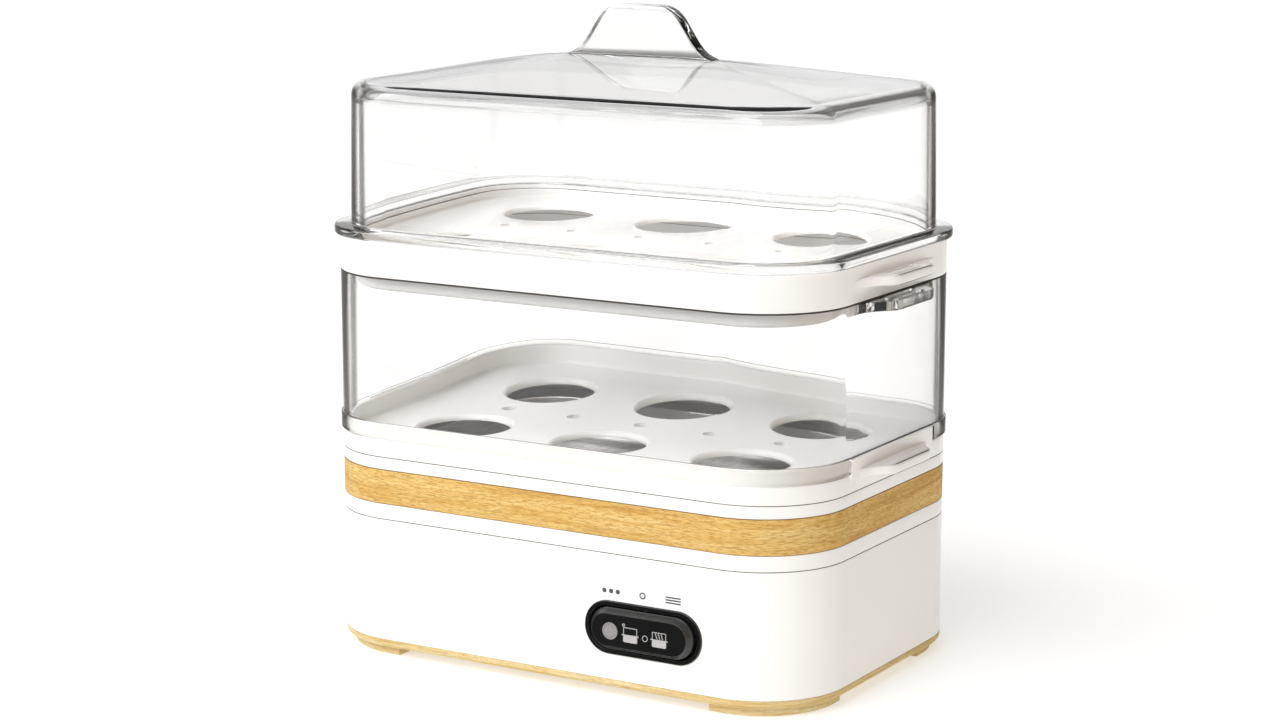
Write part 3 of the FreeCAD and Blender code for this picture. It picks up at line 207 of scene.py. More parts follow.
def open_through(piece, facing, first, second):
    """Joins the two innermost flat faces into one hole. The levels are along the direction."""

    def innermost(face):
        level = face.calc_center_median().dot(facing)
        near = min(abs(level - first * MM), abs(level - second * MM)) < 1e-6
        return near and abs(face.normal.dot(facing)) > 0.99 and len(face.verts) > 40

    pick_faces(piece, innermost)
    bpy.ops.mesh.bridge_edge_loops()


def open_front_to_back(piece, sides):
    """Joins the innermost flat faces at the front and the back into one hole. They are the
    only ones there with more corners than the given number."""
    pick_faces(piece, lambda face: abs(face.normal.y) > 0.99 and len(face.verts) > sides)
    bpy.ops.mesh.bridge_edge_loops()
    put_down()


def combine(piece, tools, way):
    """Adds tools to a piece, or cuts them from it."""
    for tool in tools:
        put_down()
        piece.select_set(True)
        bpy.context.view_layer.objects.active = piece
        fit = piece.modifiers.new("fit", "BOOLEAN")
        fit.operation = way
        fit.solver = "EXACT"
        fit.object = tool
        bpy.ops.object.modifier_apply(modifier="fit")
        bpy.data.objects.remove(tool)


def mirrored(piece, across, name):
    """A copy with its own mesh, mirrored across the middle; its normals point outwards again."""
    put_down()
    twin = piece.copy()
    twin.data = piece.data.copy()
    twin.name = name
    bpy.context.scene.collection.objects.link(twin)
    take(twin)
    bpy.ops.mesh.select_all(action="SELECT")
    sides = [-1 if axis == across else 1 for axis in range(3)]
    bpy.ops.transform.resize(value=sides, center_override=(0, 0, 0))
    if bmesh.from_edit_mesh(twin.data).calc_volume(signed=True) < 0:
        bpy.ops.mesh.flip_normals()
    put_down()
    return twin


def joined(pieces, name):
    put_down()
    for piece in pieces:
        piece.select_set(True)
    bpy.context.view_layer.objects.active = pieces[0]
    bpy.ops.object.join()
    return settle(name)


def finish_piece(piece, body, nodes, finish, crisp=32):
    """Smooth shading between crisp edges, a finish, and the body that the piece rides on."""
    put_down()
    piece.select_set(True)
    bpy.context.view_layer.objects.active = piece
    bpy.ops.object.shade_smooth_by_angle(angle=math.radians(crisp))
    piece.data.materials.clear()
    piece.data.materials.append(finish)
    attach(piece, body)
    if nodes:
        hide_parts(*nodes)


# ---------------------------------------------------------------- levels, in millimetres


def low_of(node):
    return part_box(node)[0].z / MM


def high_of(node):
    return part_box(node)[1].z / MM


FEET_TOP = high_of("feet")
CASE_BOTTOM = low_of("lower_housing")
CASE_SEAM = high_of("lower_housing")
BAND_BOTTOM = low_of("wood_band")
BAND_TOP = high_of("wood_band")
DECK_TOP = high_of("top_deck")
LOWER_RIM = high_of("lower_tray")
SLEEVE_BOTTOM = low_of("clear_sleeve")
SLEEVE_TOP = high_of("clear_sleeve")
UPPER_RIB_BOTTOM = low_of("upper_tray")
UPPER_RIM = high_of("upper_tray")
LID_BOTTOM = low_of("lid")

# the ledge that the sleeve's skirt stands over, and the top of that skirt
TRAY_LEDGE = 71.6
SKIRT_TOP = 77.2

# the middles of the outer egg seats and of the case's screw columns
EGG_SEAT_X = 51.5
EGG_SEAT_Y = 25.75
EGG_SEAT_RADIUS = 15.0
COLUMN_X = 76.5
COLUMN_Y = 46.5


# ---------------------------------------------------------------- finishes


class Finish:
    """A material's node tree, with short ways to add and join nodes."""

    def __init__(self, name):
        self.material = bpy.data.materials.new(name)
        self.material.use_nodes = True
        self.tree = self.material.node_tree
        self.shader = self.tree.nodes["Principled BSDF"]
        self.output = self.tree.nodes["Material Output"]
        self.coords = self.tree.nodes.new("ShaderNodeTexCoord")

    def set(self, **sockets):
        for name, value in sockets.items():
            self.shader.inputs[name.replace("_", " ")].default_value = value

    def add(self, kind, **settings):
        node = self.tree.nodes.new("ShaderNode" + kind)
        for name, value in settings.items():
            setattr(node, name, value)
        return node

    def join(self, start, end):
        self.tree.links.new(start, end)

    def part_of(self, vector, axis):
        """One of a vector's three parts."""
        split = self.add("SeparateXYZ")
        self.join(vector, split.inputs[0])
        return split.outputs[axis]

    def reckon(self, way, *values):
        """Arithmetic on numbers or on other nodes' results."""
        node = self.add("Math", operation=way)
        for socket, value in zip(node.inputs, values):
            if isinstance(value, bpy.types.NodeSocket):
                self.join(value, socket)
            else:
                socket.default_value = value
        return node.outputs[0]

    def mixed(self, share, first, second):
        """The first shader, and a share of the second over it."""
        mix = self.add("MixShader")
        for socket, end in zip(mix.inputs, (share, first, second)):
            self.join(end, socket)
        return mix.outputs[0]

    def stretched(self, scale, source="Object"):
        mapping = self.add("Mapping")
        mapping.inputs["Scale"].default_value = scale
        self.join(self.coords.outputs[source], mapping.inputs["Vector"])
        return mapping.outputs["Vector"]

    def noise(self, scale, detail=3.0, rough=0.5, vector=None, twist=0.0):
        node = self.add("TexNoise")
        node.inputs["Scale"].default_value = scale
        node.inputs["Detail"].default_value = detail
        node.inputs["Roughness"].default_value = rough
        node.inputs["Distortion"].default_value = twist
        self.join(vector or self.coords.outputs["Object"], node.inputs["Vector"])
        return node.outputs["Fac"]

    def between(self, value, low, high, start=0.0, end=1.0):
        node = self.add("MapRange")
        node.inputs["From Min"].default_value = start
        node.inputs["From Max"].default_value = end
        node.inputs["To Min"].default_value = low
        node.inputs["To Max"].default_value = high
        self.join(value, node.inputs["Value"])
        return node.outputs["Result"]

    def shades(self, value, stops):
        node = self.add("ValToRGB")
        ramp = node.color_ramp
        while len(ramp.elements) < len(stops):
            ramp.elements.new(0.5)
        for element, (place, colour) in zip(ramp.elements, stops):
            element.position = place
            element.color = (*colour, 1)
        self.join(value, node.inputs["Fac"])
        return node.outputs["Color"]

    def blend(self, share, first, second, way="MIX"):
        node = self.add("Mix", data_type="RGBA", blend_type=way)
        for socket, value in ((0, share), (6, first), (7, second)):
            if isinstance(value, bpy.types.NodeSocket):
                self.join(value, node.inputs[socket])
            elif socket == 0:
                node.inputs[socket].default_value = value
            else:
                node.inputs[socket].default_value = (*value, 1)
        return node.outputs[2]

    def near_levels(self, levels, reach):
        """1 on the walls within a hair's breadth of each level, and 0 elsewhere."""
        height = self.part_of(self.coords.outputs["Object"], "Z")
        share = self.reckon("COMPARE", height, levels[0] * MM, reach * MM)
        for level in levels[1:]:
            close = self.reckon("COMPARE", height, level * MM, reach * MM)
            share = self.reckon("MAXIMUM", share, close)
        place = self.add("NewGeometry")
        lean = self.part_of(place.outputs["True Normal"], "Z")
        return self.reckon("MULTIPLY", share, self.reckon("COMPARE", lean, 0.0, 0.98))

    def relief(self, height, strength, distance, under=None):
        node = self.add("Bump")
        node.inputs["Strength"].default_value = strength
        node.inputs["Distance"].default_value = distance
        self.join(height, node.inputs["Height"])
        if under:
            self.join(under, node.inputs["Normal"])
        return node.outputs["Normal"]

    def colour(self, socket):
        self.join(socket, self.shader.inputs["Base Color"])

    def roughness(self, socket):
        self.join(socket, self.shader.inputs["Roughness"])

    def normal(self, socket):
        self.join(socket, self.shader.inputs["Normal"])


def toned(colour, amount):
    return tuple(min(1.0, part * amount) for part in colour)


def moulded_plastic(name, colour, gloss, fine=0.03, coat=0.25, shine=0.5, shaded_seams=()):
    """Injection-moulded plastic: a faint drift in colour, a faint orange peel and a fine grain.
    Its parting lines get a painted hairline of shade."""
    finish = Finish(name)
    drift = finish.noise(18, 4)
    ground = finish.shades(drift, [(0.3, toned(colour, 0.975)), (0.7, colour)])
    if shaded_seams:
        # painted shade: a dark hairline on the walls at each parting line, standing in for the
        # shade in the groove
        ground = finish.blend(finish.near_levels(shaded_seams, 0.14), ground, (0.20, 0.18, 0.16))
    finish.colour(ground)
    finish.roughness(finish.between(finish.noise(70, 3), gloss - 0.04, gloss + 0.05))
    peel = finish.relief(finish.noise(260, 2), fine, 0.0004)
    finish.normal(finish.relief(finish.noise(2600, 2), fine * 0.6, 0.0001, peel))
    finish.set(IOR=1.5, Specular_IOR_Level=shine, Coat_Weight=coat, Coat_Roughness=0.08)
    return finish.material


def switch_plastic(name, colour):
    """Black switch plastic: matt where it faces the front, and glossy round its edges, where its
    colour is also lightened as a painted sheen.
    """
    finish = Finish(name)
    across = finish.part_of(finish.coords.outputs["Normal"], "Y")
    side = finish.between(across, 0.0, 1.0, -0.96, -0.78)
    drift = finish.shades(finish.noise(60, 3), [(0.3, toned(colour, 0.8)), (0.7, colour)])
    # painted sheen: the walls' colour is lightened to 2.2 times the black
    finish.colour(finish.blend(side, drift, toned(colour, 2.2)))
    finish.join(finish.between(side, 0.04, 0.62), finish.shader.inputs["Specular IOR Level"])
    finish.roughness(finish.between(finish.noise(90, 3), 0.24, 0.32))
    finish.normal(finish.relief(finish.noise(2600, 2), 0.03, 0.0001))
    finish.set(IOR=1.5)
    return finish.material


def clear_plastic(name, flats, rim=None, lap=None):
    """Water-clear moulded plastic: bright through its faces, and painted grey and dark where it
    is seen along a wall, standing in for the dark edges that refraction gives. The second number
    says how far its level faces share that grey. The rim gets a painted dark line, standing in for
    the shade where it meets the tray, and the plastic below the lap is a little dimmer."""
    finish = Finish(name)
    facing = finish.add("LayerWeight")
    facing.inputs["Blend"].default_value = 0.5
    place = finish.add("NewGeometry")
    level = finish.reckon("ABSOLUTE", finish.part_of(place.outputs["Normal"], "Z"))
    share = finish.between(level, 1.0, flats, 0.3, 0.8)
    # painted shade: grey ramped in where the wall is seen edge-on, standing in for the dark edges
    # that refraction gives
    grey = finish.shades(
        facing.outputs["Facing"],
        [
            (0.0, (1.0, 1.0, 1.0)),
            (0.56, (0.99, 0.99, 0.988)),
            (0.64, (0.34, 0.32, 0.305)),
            (0.82, (0.24, 0.225, 0.21)),
            (0.92, (0.50, 0.485, 0.47)),
        ],
    )
    ground = finish.blend(share, (1.0, 1.0, 1.0), grey)
    # how far a dark matt layer is mixed in where the wall is seen edge-on: painted shade
    depth = [(0.58, 0.0), (0.68, 0.84), (0.80, 0.80), (0.90, 0.22)]
    along = finish.shades(facing.outputs["Facing"], [(at, (part,) * 3) for at, part in depth])
    painted_edge_share = finish.reckon("MULTIPLY", along, share)
    if rim:
        # painted shade: a dark line at the rim's level, standing in for the shade where the rim
        # meets the tray
        painted_edge_share = finish.reckon("MAXIMUM", finish.near_levels([rim], 0.4), painted_edge_share)
    if lap:
        height = finish.part_of(finish.coords.outputs["Object"], "Z")
        dimmer = finish.between(height, 1.0, 0.0, (lap - 0.3) * MM, lap * MM)
        ground = finish.blend(dimmer, ground, (0.90, 0.893, 0.88), "MULTIPLY")
    finish.colour(ground)
    finish.roughness(finish.between(finish.noise(40, 2), 0.0, 0.012))
    finish.normal(finish.relief(finish.noise(26, 2), 0.02, 0.0006))
    finish.set(IOR=1.49, Transmission_Weight=1.0)
    # the dark matt layer of that painted shade
    thick = finish.add("BsdfDiffuse")
    thick.inputs["Color"].default_value = (0.075, 0.069, 0.064, 1)
    wall = finish.mixed(painted_edge_share, finish.shader.outputs[0], thick.outputs[0])
    through = finish.add("BsdfTransparent")
    through.inputs["Color"].default_value = (0.95, 0.95, 0.95, 1)
    rays = finish.add("LightPath")
    lit = finish.mixed(rays.outputs["Is Shadow Ray"], wall, through.outputs[0])
    finish.join(lit, finish.output.inputs["Surface"])
    return finish.material


def printed_wood(name, light, middle, dark, pores, shaded_seams=()):
    """Oak, its grain running along the strip: broad streaks, wavy flames, fine fibres and
    short dark pores. The band's top and bottom edges get a painted hairline of shade."""
    finish = Finish(name)
    broad = finish.noise(1, 4, 0.55, finish.stretched((9, 210, 1), "UV"), 0.8)
    fibres = finish.noise(1, 6, 0.7, finish.stretched((60, 1500, 1), "UV"), 0.4)
    flame = finish.noise(1, 4, 0.6, finish.stretched((16, 170, 1), "UV"), 2.2)
    ground = finish.shades(broad, [(0.30, dark), (0.44, middle), (0.62, light)])
    warm = finish.shades(flame, [(0.42, (1, 1, 1)), (0.56, (0.90, 0.79, 0.60)), (0.64, (1, 1, 1))])
    ground = finish.blend(0.85, ground, warm, "MULTIPLY")
    fine = [(0.3, (0.74, 0.62, 0.44)), (0.52, (1, 1, 1)), (0.8, (1.12, 1.1, 1.05))]
    ground = finish.blend(0.8, ground, finish.shades(fibres, fine), "MULTIPLY")
    for along, over, start in ((420, 3300, 0.50), (190, 1900, 0.58)):
        dashes = finish.noise(1, 2, 0.5, finish.stretched((along, over, 1), "UV"), 0.6)
        share = finish.between(dashes, 0.0, pores, start, start + 0.11)
        ground = finish.blend(share, ground, tuple(a * b for a, b in zip(dark, (0.72, 0.60, 0.48))))
    # painted shade: a dark hairline along the band's top and bottom edges
    if shaded_seams:
        ground = finish.blend(finish.near_levels(shaded_seams, 0.2), ground, toned(dark, 0.4))
    finish.colour(ground)
    finish.roughness(finish.between(fibres, 0.5, 0.65))
    finish.normal(finish.relief(fibres, 0.2, 0.0001))
    finish.set(IOR=1.45, Specular_IOR_Level=0.14)
    return finish.material


def worked_metal(name, colour, rough, scale, brushed=(1, 1, 1)):
    """Bare metal with drawn or rolled marks, and dull patches from handling."""
    finish = Finish(name)
    marks = finish.noise(scale, 4, 0.6, finish.stretched(brushed))
    patches = finish.noise(45, 4)
    finish.colour(finish.shades(patches, [(0.3, toned(colour, 0.86)), (0.7, colour)]))
    finish.roughness(finish.between(marks, rough - 0.08, rough + 0.12, 0.3, 0.7))
    finish.normal(finish.relief(marks, 0.12, 0.0001))
    finish.set(Metallic=1.0)
    return finish.material


def soft_rubber(name, colour, rough=0.55):
    """Silicone or rubber: matt, with a fine bloom and a little dust."""
    finish = Finish(name)
    bloom = finish.noise(130, 5, 0.6)
    finish.colour(finish.shades(bloom, [(0.3, toned(colour, 0.85)), (0.75, toned(colour, 1.1))]))
    finish.roughness(finish.between(finish.noise(60, 3), rough - 0.08, rough + 0.1))
    finish.normal(finish.relief(finish.noise(1800, 2), 0.08, 0.0001))
    finish.set(IOR=1.45)
    return finish.material


# the parting lines where the white plastic gets a painted hairline of shade
PARTING_LEVELS = (CASE_SEAM, DECK_TOP, SLEEVE_TOP)

white = moulded_plastic("white_plastic", (0.86, 0.85, 0.83), 0.2, shaded_seams=PARTING_LEVELS)
black = switch_plastic("black_plastic", (0.007, 0.007, 0.007))
clear = clear_plastic("clear_plastic", 0.25, SLEEVE_TOP, SKIRT_TOP)
lid_clear = clear_plastic("clear_lid_plastic", 0.12)
oak = printed_wood(
    "wood_effect",
    (0.74, 0.54, 0.22),
    (0.69, 0.47, 0.165),
    (0.55, 0.34, 0.10),
    0.62,
    (BAND_BOTTOM, BAND_TOP),
)
pale_oak = printed_wood(
    "pale_wood_effect", (0.76, 0.67, 0.42), (0.71, 0.59, 0.32), (0.59, 0.44, 0.20), 0.35
)
stainless = worked_metal("stainless", (0.62, 0.61, 0.60), 0.3, 3600, (1, 0.02, 1))
aluminium = worked_metal("aluminium", (0.80, 0.80, 0.81), 0.42, 500)
steel = worked_metal("steel", (0.55, 0.55, 0.56), 0.32, 700)
dark_steel = worked_metal("dark_steel", (0.12, 0.115, 0.11), 0.5, 600)
brass = worked_metal("brass", (0.78, 0.57, 0.25), 0.28, 700)
seal_rubber = soft_rubber("silicone", (0.60, 0.58, 0.55))
dark_rubber = soft_rubber("rubber", (0.03, 0.03, 0.032), 0.6)
nylon = moulded_plastic("nylon", (0.68, 0.66, 0.60), 0.42)
ceramic = soft_rubber("ceramic", (0.80, 0.77, 0.70), 0.7)
lens_grey = moulded_plastic("lens_plastic", (0.24, 0.23, 0.23), 0.3)
print_grey = moulded_plastic("print_grey", (0.42, 0.41, 0.41), 0.45)
print_dark = moulded_plastic("print_dark", (0.05, 0.05, 0.055), 0.5)
lamp = moulded_plastic("lamp_glass", (0.75, 0.30, 0.10), 0.08)
brown_wire = soft_rubber("brown_insulation", (0.16, 0.07, 0.035))
blue_wire = soft_rubber("blue_insulation", (0.03, 0.11, 0.38))
green_wire = soft_rubber("green_insulation", (0.10, 0.36, 0.08))
white_wire = soft_rubber("white_insulation", (0.72, 0.71, 0.68))

FINISHES = {
    finish.name.split(".")[0]: finish
    for finish in (white, oak, pale_oak, clear, black, lens_grey, lamp, stainless, aluminium)
    + (steel, dark_steel, brass, seal_rubber, dark_rubber, nylon, ceramic)
}
WIRES = {
    "live_wire": brown_wire,
    "neutral_wire": blue_wire,
    "earth_wire": green_wire,
    "thermostat_wire": white_wire,
    "fuse_wire": white_wire,
    "heater_wire": white_wire,
}


def finish_inner_pieces():
    """The pieces inside the case keep their frame shapes and take their finishes."""
    for name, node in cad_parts.items():
        for place, material in enumerate(node.data.materials):
            slot = material.name.split(".")[0]
            node.data.materials[place] = WIRES.get(name, FINISHES[slot])


# ---------------------------------------------------------------- grain


def grain_along(piece):
    """Lays the grain along the case's outline on the walls, and along X on the flats."""
    straight_x = HALF_X - CORNER
    straight_y = HALF_Y - CORNER
    quarter = straight_x + CORNER * math.pi / 2 + straight_y

    def distance(x, y):
        beyond_x = abs(x) - straight_x
        beyond_y = abs(y) - straight_y
        if beyond_x <= 0:
            along = abs(x)
        elif beyond_y <= 0:
            along = quarter - abs(y)
        else:
            along = straight_x + CORNER * math.atan2(beyond_x, beyond_y)
        if x >= 0:
            return along if y >= 0 else 2 * quarter - along
        return 4 * quarter - along if y >= 0 else 2 * quarter + along

    mesh = piece.data
    while mesh.uv_layers:
        mesh.uv_layers.remove(mesh.uv_layers[0])
    layer = mesh.uv_layers.new(name="grain")
    for face in mesh.polygons:
        middle = distance(face.center.x, face.center.y)
        for loop in face.loop_indices:
            place = mesh.vertices[mesh.loops[loop].vertex_index].co
            if abs(face.normal.z) > 0.8:
                layer.data[loop].uv = (place.x, place.y)
                continue
            along = distance(place.x, place.y)
            if along - middle > 2 * quarter:
                along -= 4 * quarter
            if middle - along > 2 * quarter:
                along += 4 * quarter
            layer.data[loop].uv = (along, place.z)


# ---------------------------------------------------------------- base


def make_feet():
    """Pads that follow the corners. One is cut from a whole ring, then copied to each corner."""
    inset = 3.0
    wide = 12.5
    foot = case_block("corner_foot", inset, 0.5, FEET_TOP)
    work_end(foot, DOWN, shoulder(0.5, 0.5, 3) + [(wide - 1.0, 0), (0.5, 0)])
    work_end(foot, UP, [(wide, 0)])
    open_through(foot, UP, 0.0, FEET_TOP)
    straight_x = HALF_X - CORNER - 4 * MM
    straight_y = HALF_Y - CORNER - 4 * MM
    for place, keep in ((Vector((straight_x, 0, 0)), RIGHT), (Vector((0, -straight_y, 0)), FRONT)):
        bpy.ops.mesh.select_all(action="SELECT")
        bpy.ops.mesh.bisect(plane_co=place, plane_no=keep, use_fill=True, clear_inner=True)
    put_down()
    left = mirrored(foot, 0, "left_foot")
    back_right = mirrored(foot, 1, "back_right_foot")
    back_left = mirrored(left, 1, "back_left_foot")
    feet = joined([foot, left, back_right, back_left], "corner_feet")
    grain_along(feet)
    finish_piece(feet, "base", ["feet"], pale_oak)


def column_places():
    return [Vector((COLUMN_X * x, COLUMN_Y * y, 0)) * MM for x in (-1, 1) for y in (-1, 1)]


def upright_bar(name, place, radius, bottom, top, sides=48):
    start = Vector((place.x, place.y, bottom * MM))
    bar = round_bar(name, start, UP, radius * MM, (top - bottom) * MM, sides)
    put_down()
    return bar


def make_base_plate():
    plate = case_block("base_strip", 0, FEET_TOP + 1.6, CASE_BOTTOM - 0.25)
    work_end(plate, DOWN, shoulder(1.6, 1.6, 6))
    work_end(plate, UP, shoulder(0.25, 0.25, 2))
    put_down()
    cutters = []
    for step in range(-2, 3):
        low = Vector((step * 10 - 1.2, -14, FEET_TOP - 1)) * MM
        high = Vector((step * 10 + 1.2, 14, CASE_BOTTOM + 1)) * MM
        cutters.append(rounded_block("vent", low, high, 1.19 * MM, steps=8))
    for place in column_places():
        cutters.append(upright_bar("well", place, 3.2, FEET_TOP - 1, FEET_TOP + 2.0))
        cutters.append(upright_bar("hole", place, 1.6, FEET_TOP + 1, CASE_BOTTOM + 1, 32))
    combine(plate, cutters, "DIFFERENCE")
    grain_along(plate)
    finish_piece(plate, "base", ["base_plate"], pale_oak)


def make_lower_housing():
    """The lower shell, with its screw columns, the switch opening and the cord hole."""
    r = SEAM_ROUND / MM
    wall = 2.6
    shell = case_block("lower_shell", 0, CASE_BOTTOM + r, CASE_SEAM - r)
    for facing in (UP, DOWN):
        work_end(shell, facing, shoulder(r, r, 3) + [(wall - r, 0)])
    open_through(shell, UP, CASE_BOTTOM, CASE_SEAM)
    put_down()
    columns = [upright_bar("column", p, 5.0, CASE_BOTTOM, 43.0) for p in column_places()]
    combine(shell, columns, "UNION")
    cutters = [upright_bar("bore", p, 1.6, CASE_BOTTOM - 1, 44.0, 32) for p in column_places()]
    bezel_low, bezel_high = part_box("switch_bezel")
    middle = (bezel_low + bezel_high) / 2
    half = Vector((19.9, 0, 8.1)) * MM
    low = Vector((middle.x - half.x, -HALF_Y - 2 * MM, middle.z - half.z))
    high = Vector((middle.x + half.x, -HALF_Y + 4 * MM, middle.z + half.z))
    cutters.append(rounded_block("switch_opening", low, high, 8.0 * MM, upright=1))
    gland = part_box("cord_gland")
    place = Vector(((gland[0].x + gland[1].x) / 2, HALF_Y - 5 * MM, (gland[0].z + gland[1].z) / 2))
    cutters.append(round_bar("cord_hole", place, BACK, 6.05 * MM, 8 * MM))
    combine(shell, cutters, "DIFFERENCE")
    finish_piece(shell, "base", ["lower_housing"], white)


def make_upper_housing():
    """The ring above the seam: a lip, the seat of the wood band and a tongue below."""
    r = SEAM_ROUND / MM
    shell = case_block("upper_shell", 0, CASE_SEAM + r, BAND_BOTTOM - r)
    work_end(shell, UP, shoulder(r, r, 3) + [(1.45 - r, 0), (0, BAND_TOP - BAND_BOTTOM), (1.75, 0)])
    tongue = [(2.65 - r, 0), (0, 2.5), (1.3, 0)]
    work_end(shell, DOWN, shoulder(r, r, 3) + tongue)
    open_through(shell, UP, CASE_SEAM - 2.5, BAND_TOP)
    finish_piece(shell, "base", ["upper_housing"], white)


def make_wood_band():
    r = 0.22
    band = case_block("oak_band", 0, BAND_BOTTOM + r, BAND_TOP - r)
    for facing in (UP, DOWN):
        work_end(band, facing, shoulder(r, r, 3) + [(1.4 - r, 0)])
    open_through(band, UP, BAND_BOTTOM, BAND_TOP)
    put_down()
    grain_along(band)
    finish_piece(band, "base", ["wood_band"], oak)


def make_top_deck():
    """The deck that carries the water pan, with a collar that centres the lower tray."""
    r = SEAM_ROUND / MM
    deck = case_block("pan_deck", 0, BAND_TOP + r, DECK_TOP - r)
    collar = [(2.6 - r, 0)] + lip(0.4, 0.4, 3) + [(0, -1.1)] + shoulder(0.5, -0.5, 3)
    work_end(deck, UP, shoulder(r, r, 3) + collar)
    work_end(deck, DOWN, shoulder(r, r, 3))
    put_down()
    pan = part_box("heating_pan")[1]
    half_x = pan.x - 4 * MM
    half_y = pan.y - 4 * MM
    low = Vector((-half_x, -half_y, BAND_TOP * MM - 0.002))
    high = Vector((half_x, half_y, DECK_TOP * MM + 0.002))
    opening = rounded_block("opening", low, high, 22 * MM)
    combine(deck, [opening], "DIFFERENCE")
    posts = [upright_bar("post", p, 3.0, 43.0, BAND_TOP + 0.5) for p in column_places()]
    straps = [Vector((38 * x, 50 * y, 0)) * MM for x in (-1, 1) for y in (-1, 1)]
    strap_bottom = high_of("retainer_straps")
    posts += [upright_bar("strap_post", p, 3.5, strap_bottom, BAND_TOP + 0.5) for p in straps]
    combine(deck, posts, "UNION")
    finish_piece(deck, "base", ["top_deck"], white)


def make_heating_pan():
    """The pressed water pan: a flat flange, a tub with a round floor edge, and a pressed ring."""
    low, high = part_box("heating_pan")
    top = high.z / MM
    bottom = low.z / MM
    pan = rounded_block(
        "water_pan", Vector((low.x, low.y, high.z - 0.8 * MM)), high - UP * 0.2 * MM, 26 * MM
    )
    tub = [(5.2, 0)] + lip(0.6, 0.6) + [(0, -(top - bottom - 1.0 - 3.6))] + shoulder(3.0, -3.0, 5)
    ring = [(14, 0)] + shoulder(0.6, 0.6, 3)[::-1] + [(1.2, 0)] + lip(0.6, 0.6, 3)
    under = [(4.8, 0), (0, top - bottom - 3.0)]
    work_end(pan, DOWN, shoulder(0.2, 0.2, 2) + under + shoulder(2, 2, 4))
    work_end(pan, UP, shoulder(0.2, 0.2, 2) + tub + ring)
    finish_piece(pan, "base", ["heating_pan"], stainless)


def make_pan_seal():
    low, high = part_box("pan_seal")
    bottom, top = low.z / MM, high.z / MM
    seal = rounded_block(
        "pan_gasket",
        Vector((low.x, low.y, low.z + 0.2 * MM)),
        Vector((high.x, high.y, high.z - 0.2 * MM)),
        25 * MM,
    )
    for facing in (UP, DOWN):
        work_end(seal, facing, shoulder(0.2, 0.2, 3) + [(2.4, 0), (0.2, 0)])
    open_through(seal, UP, bottom, top)
    finish_piece(seal, "base", ["pan_seal"], seal_rubber)


# ---------------------------------------------------------------- trays and sleeve


# how the side tabs swell from the wall: reach along X and half width along Y, then the half
# width at the root and the thickness
TAB_LINE = [
    (90.15, 25.6),
    (90.7, 23.2),
    (91.6, 20.8),
    (92.8, 18.7),
    (94.2, 17.0),
    (95.6, 15.6),
    (96.6, 14.2),
    (97.25, 12.5),
    (97.55, 10.6),
    (97.6, 9.2),
]
TAB_ROOT = 27.8
TAB_THICK = 3.0


def swell_tab(start):
    """Carries the selected face out along X in steps, narrowing as it goes."""
    side = 1 if start > 0 else -1
    reach = abs(start)
    half = TAB_ROOT
    for next_reach, next_half in TAB_LINE:
        step = (next_reach - reach) * side * MM
        draw_out((step, 0, 0))
        bpy.ops.transform.resize(value=(1, next_half / half, 1), center_override=(0, 0, 0))
        reach = next_reach
        half = next_half


def round_tab(piece, side, top, start):
    """Rounds the tab's upper and lower edges, all the way round its nose."""

    def around_tab(edge):
        middle = (edge.verts[0].co + edge.verts[1].co) / 2
        level = min(abs(middle.z / MM - top), abs(middle.z / MM - top + TAB_THICK)) < 1e-3
        flat = abs(edge.verts[0].co.z - edge.verts[1].co.z) < 1e-6
        tilts = sorted(abs(face.normal.z) for face in edge.link_faces)
        outside = middle.x * side / MM > start + 0.03
        return level and flat and outside and tilts[0] < 0.5 and tilts[-1] > 0.9

    pick_edges(piece, around_tab)
    bpy.ops.mesh.bevel(offset=0.7 * MM, segments=3, profile=0.5, affect="EDGES")


def side_tab(name, top, root):
    """A tab as a piece of its own, to be joined to a wall. It swells and ends in a round nose."""
    start = 89.95
    low = Vector((root, -TAB_ROOT, top - TAB_THICK)) * MM
    high = Vector((start, TAB_ROOT, top)) * MM
    put_down()
    bpy.ops.mesh.primitive_cube_add(size=2, location=(low + high) / 2, scale=(high - low) / 2)
    tab = settle(name)
    take(tab)
    end_face(tab, RIGHT)
    swell_tab(start)
    round_tab(tab, 1, top, start)
    put_down()
    return tab


def draw_out_tabs(piece, top):
    """Cuts each end wall round the tab's root, and draws the tab out of it."""
    start = HALF_X / MM
    bottom = top - TAB_THICK
    take(piece)
    for side in (1, -1):

        def end_wall(face):
            middle = face.calc_center_median()
            return face.normal.x * side > 0.999 and abs(middle.x * side - HALF_X) < 1e-6

        def tab_root(face):
            middle = face.calc_center_median() / MM
            return end_wall(face) and abs(middle.y) < 1 and abs(middle.z - (top + bottom) / 2) < 0.1

        cuts = [((0, 0, top), UP), ((0, 0, bottom), UP)]
        cuts += [((0, TAB_ROOT, 0), BACK), ((0, -TAB_ROOT, 0), BACK)]
        for place, across in cuts:
            pick_faces(piece, end_wall)
            bpy.ops.mesh.bisect(plane_co=Vector(place) * MM, plane_no=across)
        pick_faces(piece, tab_root)
        swell_tab(start * side)
        round_tab(piece, side, top, start)
    put_down()


def tab_slots(top, bottom):
    """Two narrow slots across a tab."""
    cutters = []
    for place in (91.6, 95.0):
        low = Vector((place - 0.9, -10, bottom)) * MM
        high = Vector((place + 0.9, 10, top)) * MM
        cutters.append(rounded_block("slot", low, high, 0.89 * MM, steps=8))
    return cutters


def both_ends(shapes):
    """The shapes and their mirror images on the other end."""
    put_down()
    return shapes + [mirrored(shape, 0, shape.name + "_left") for shape in shapes]


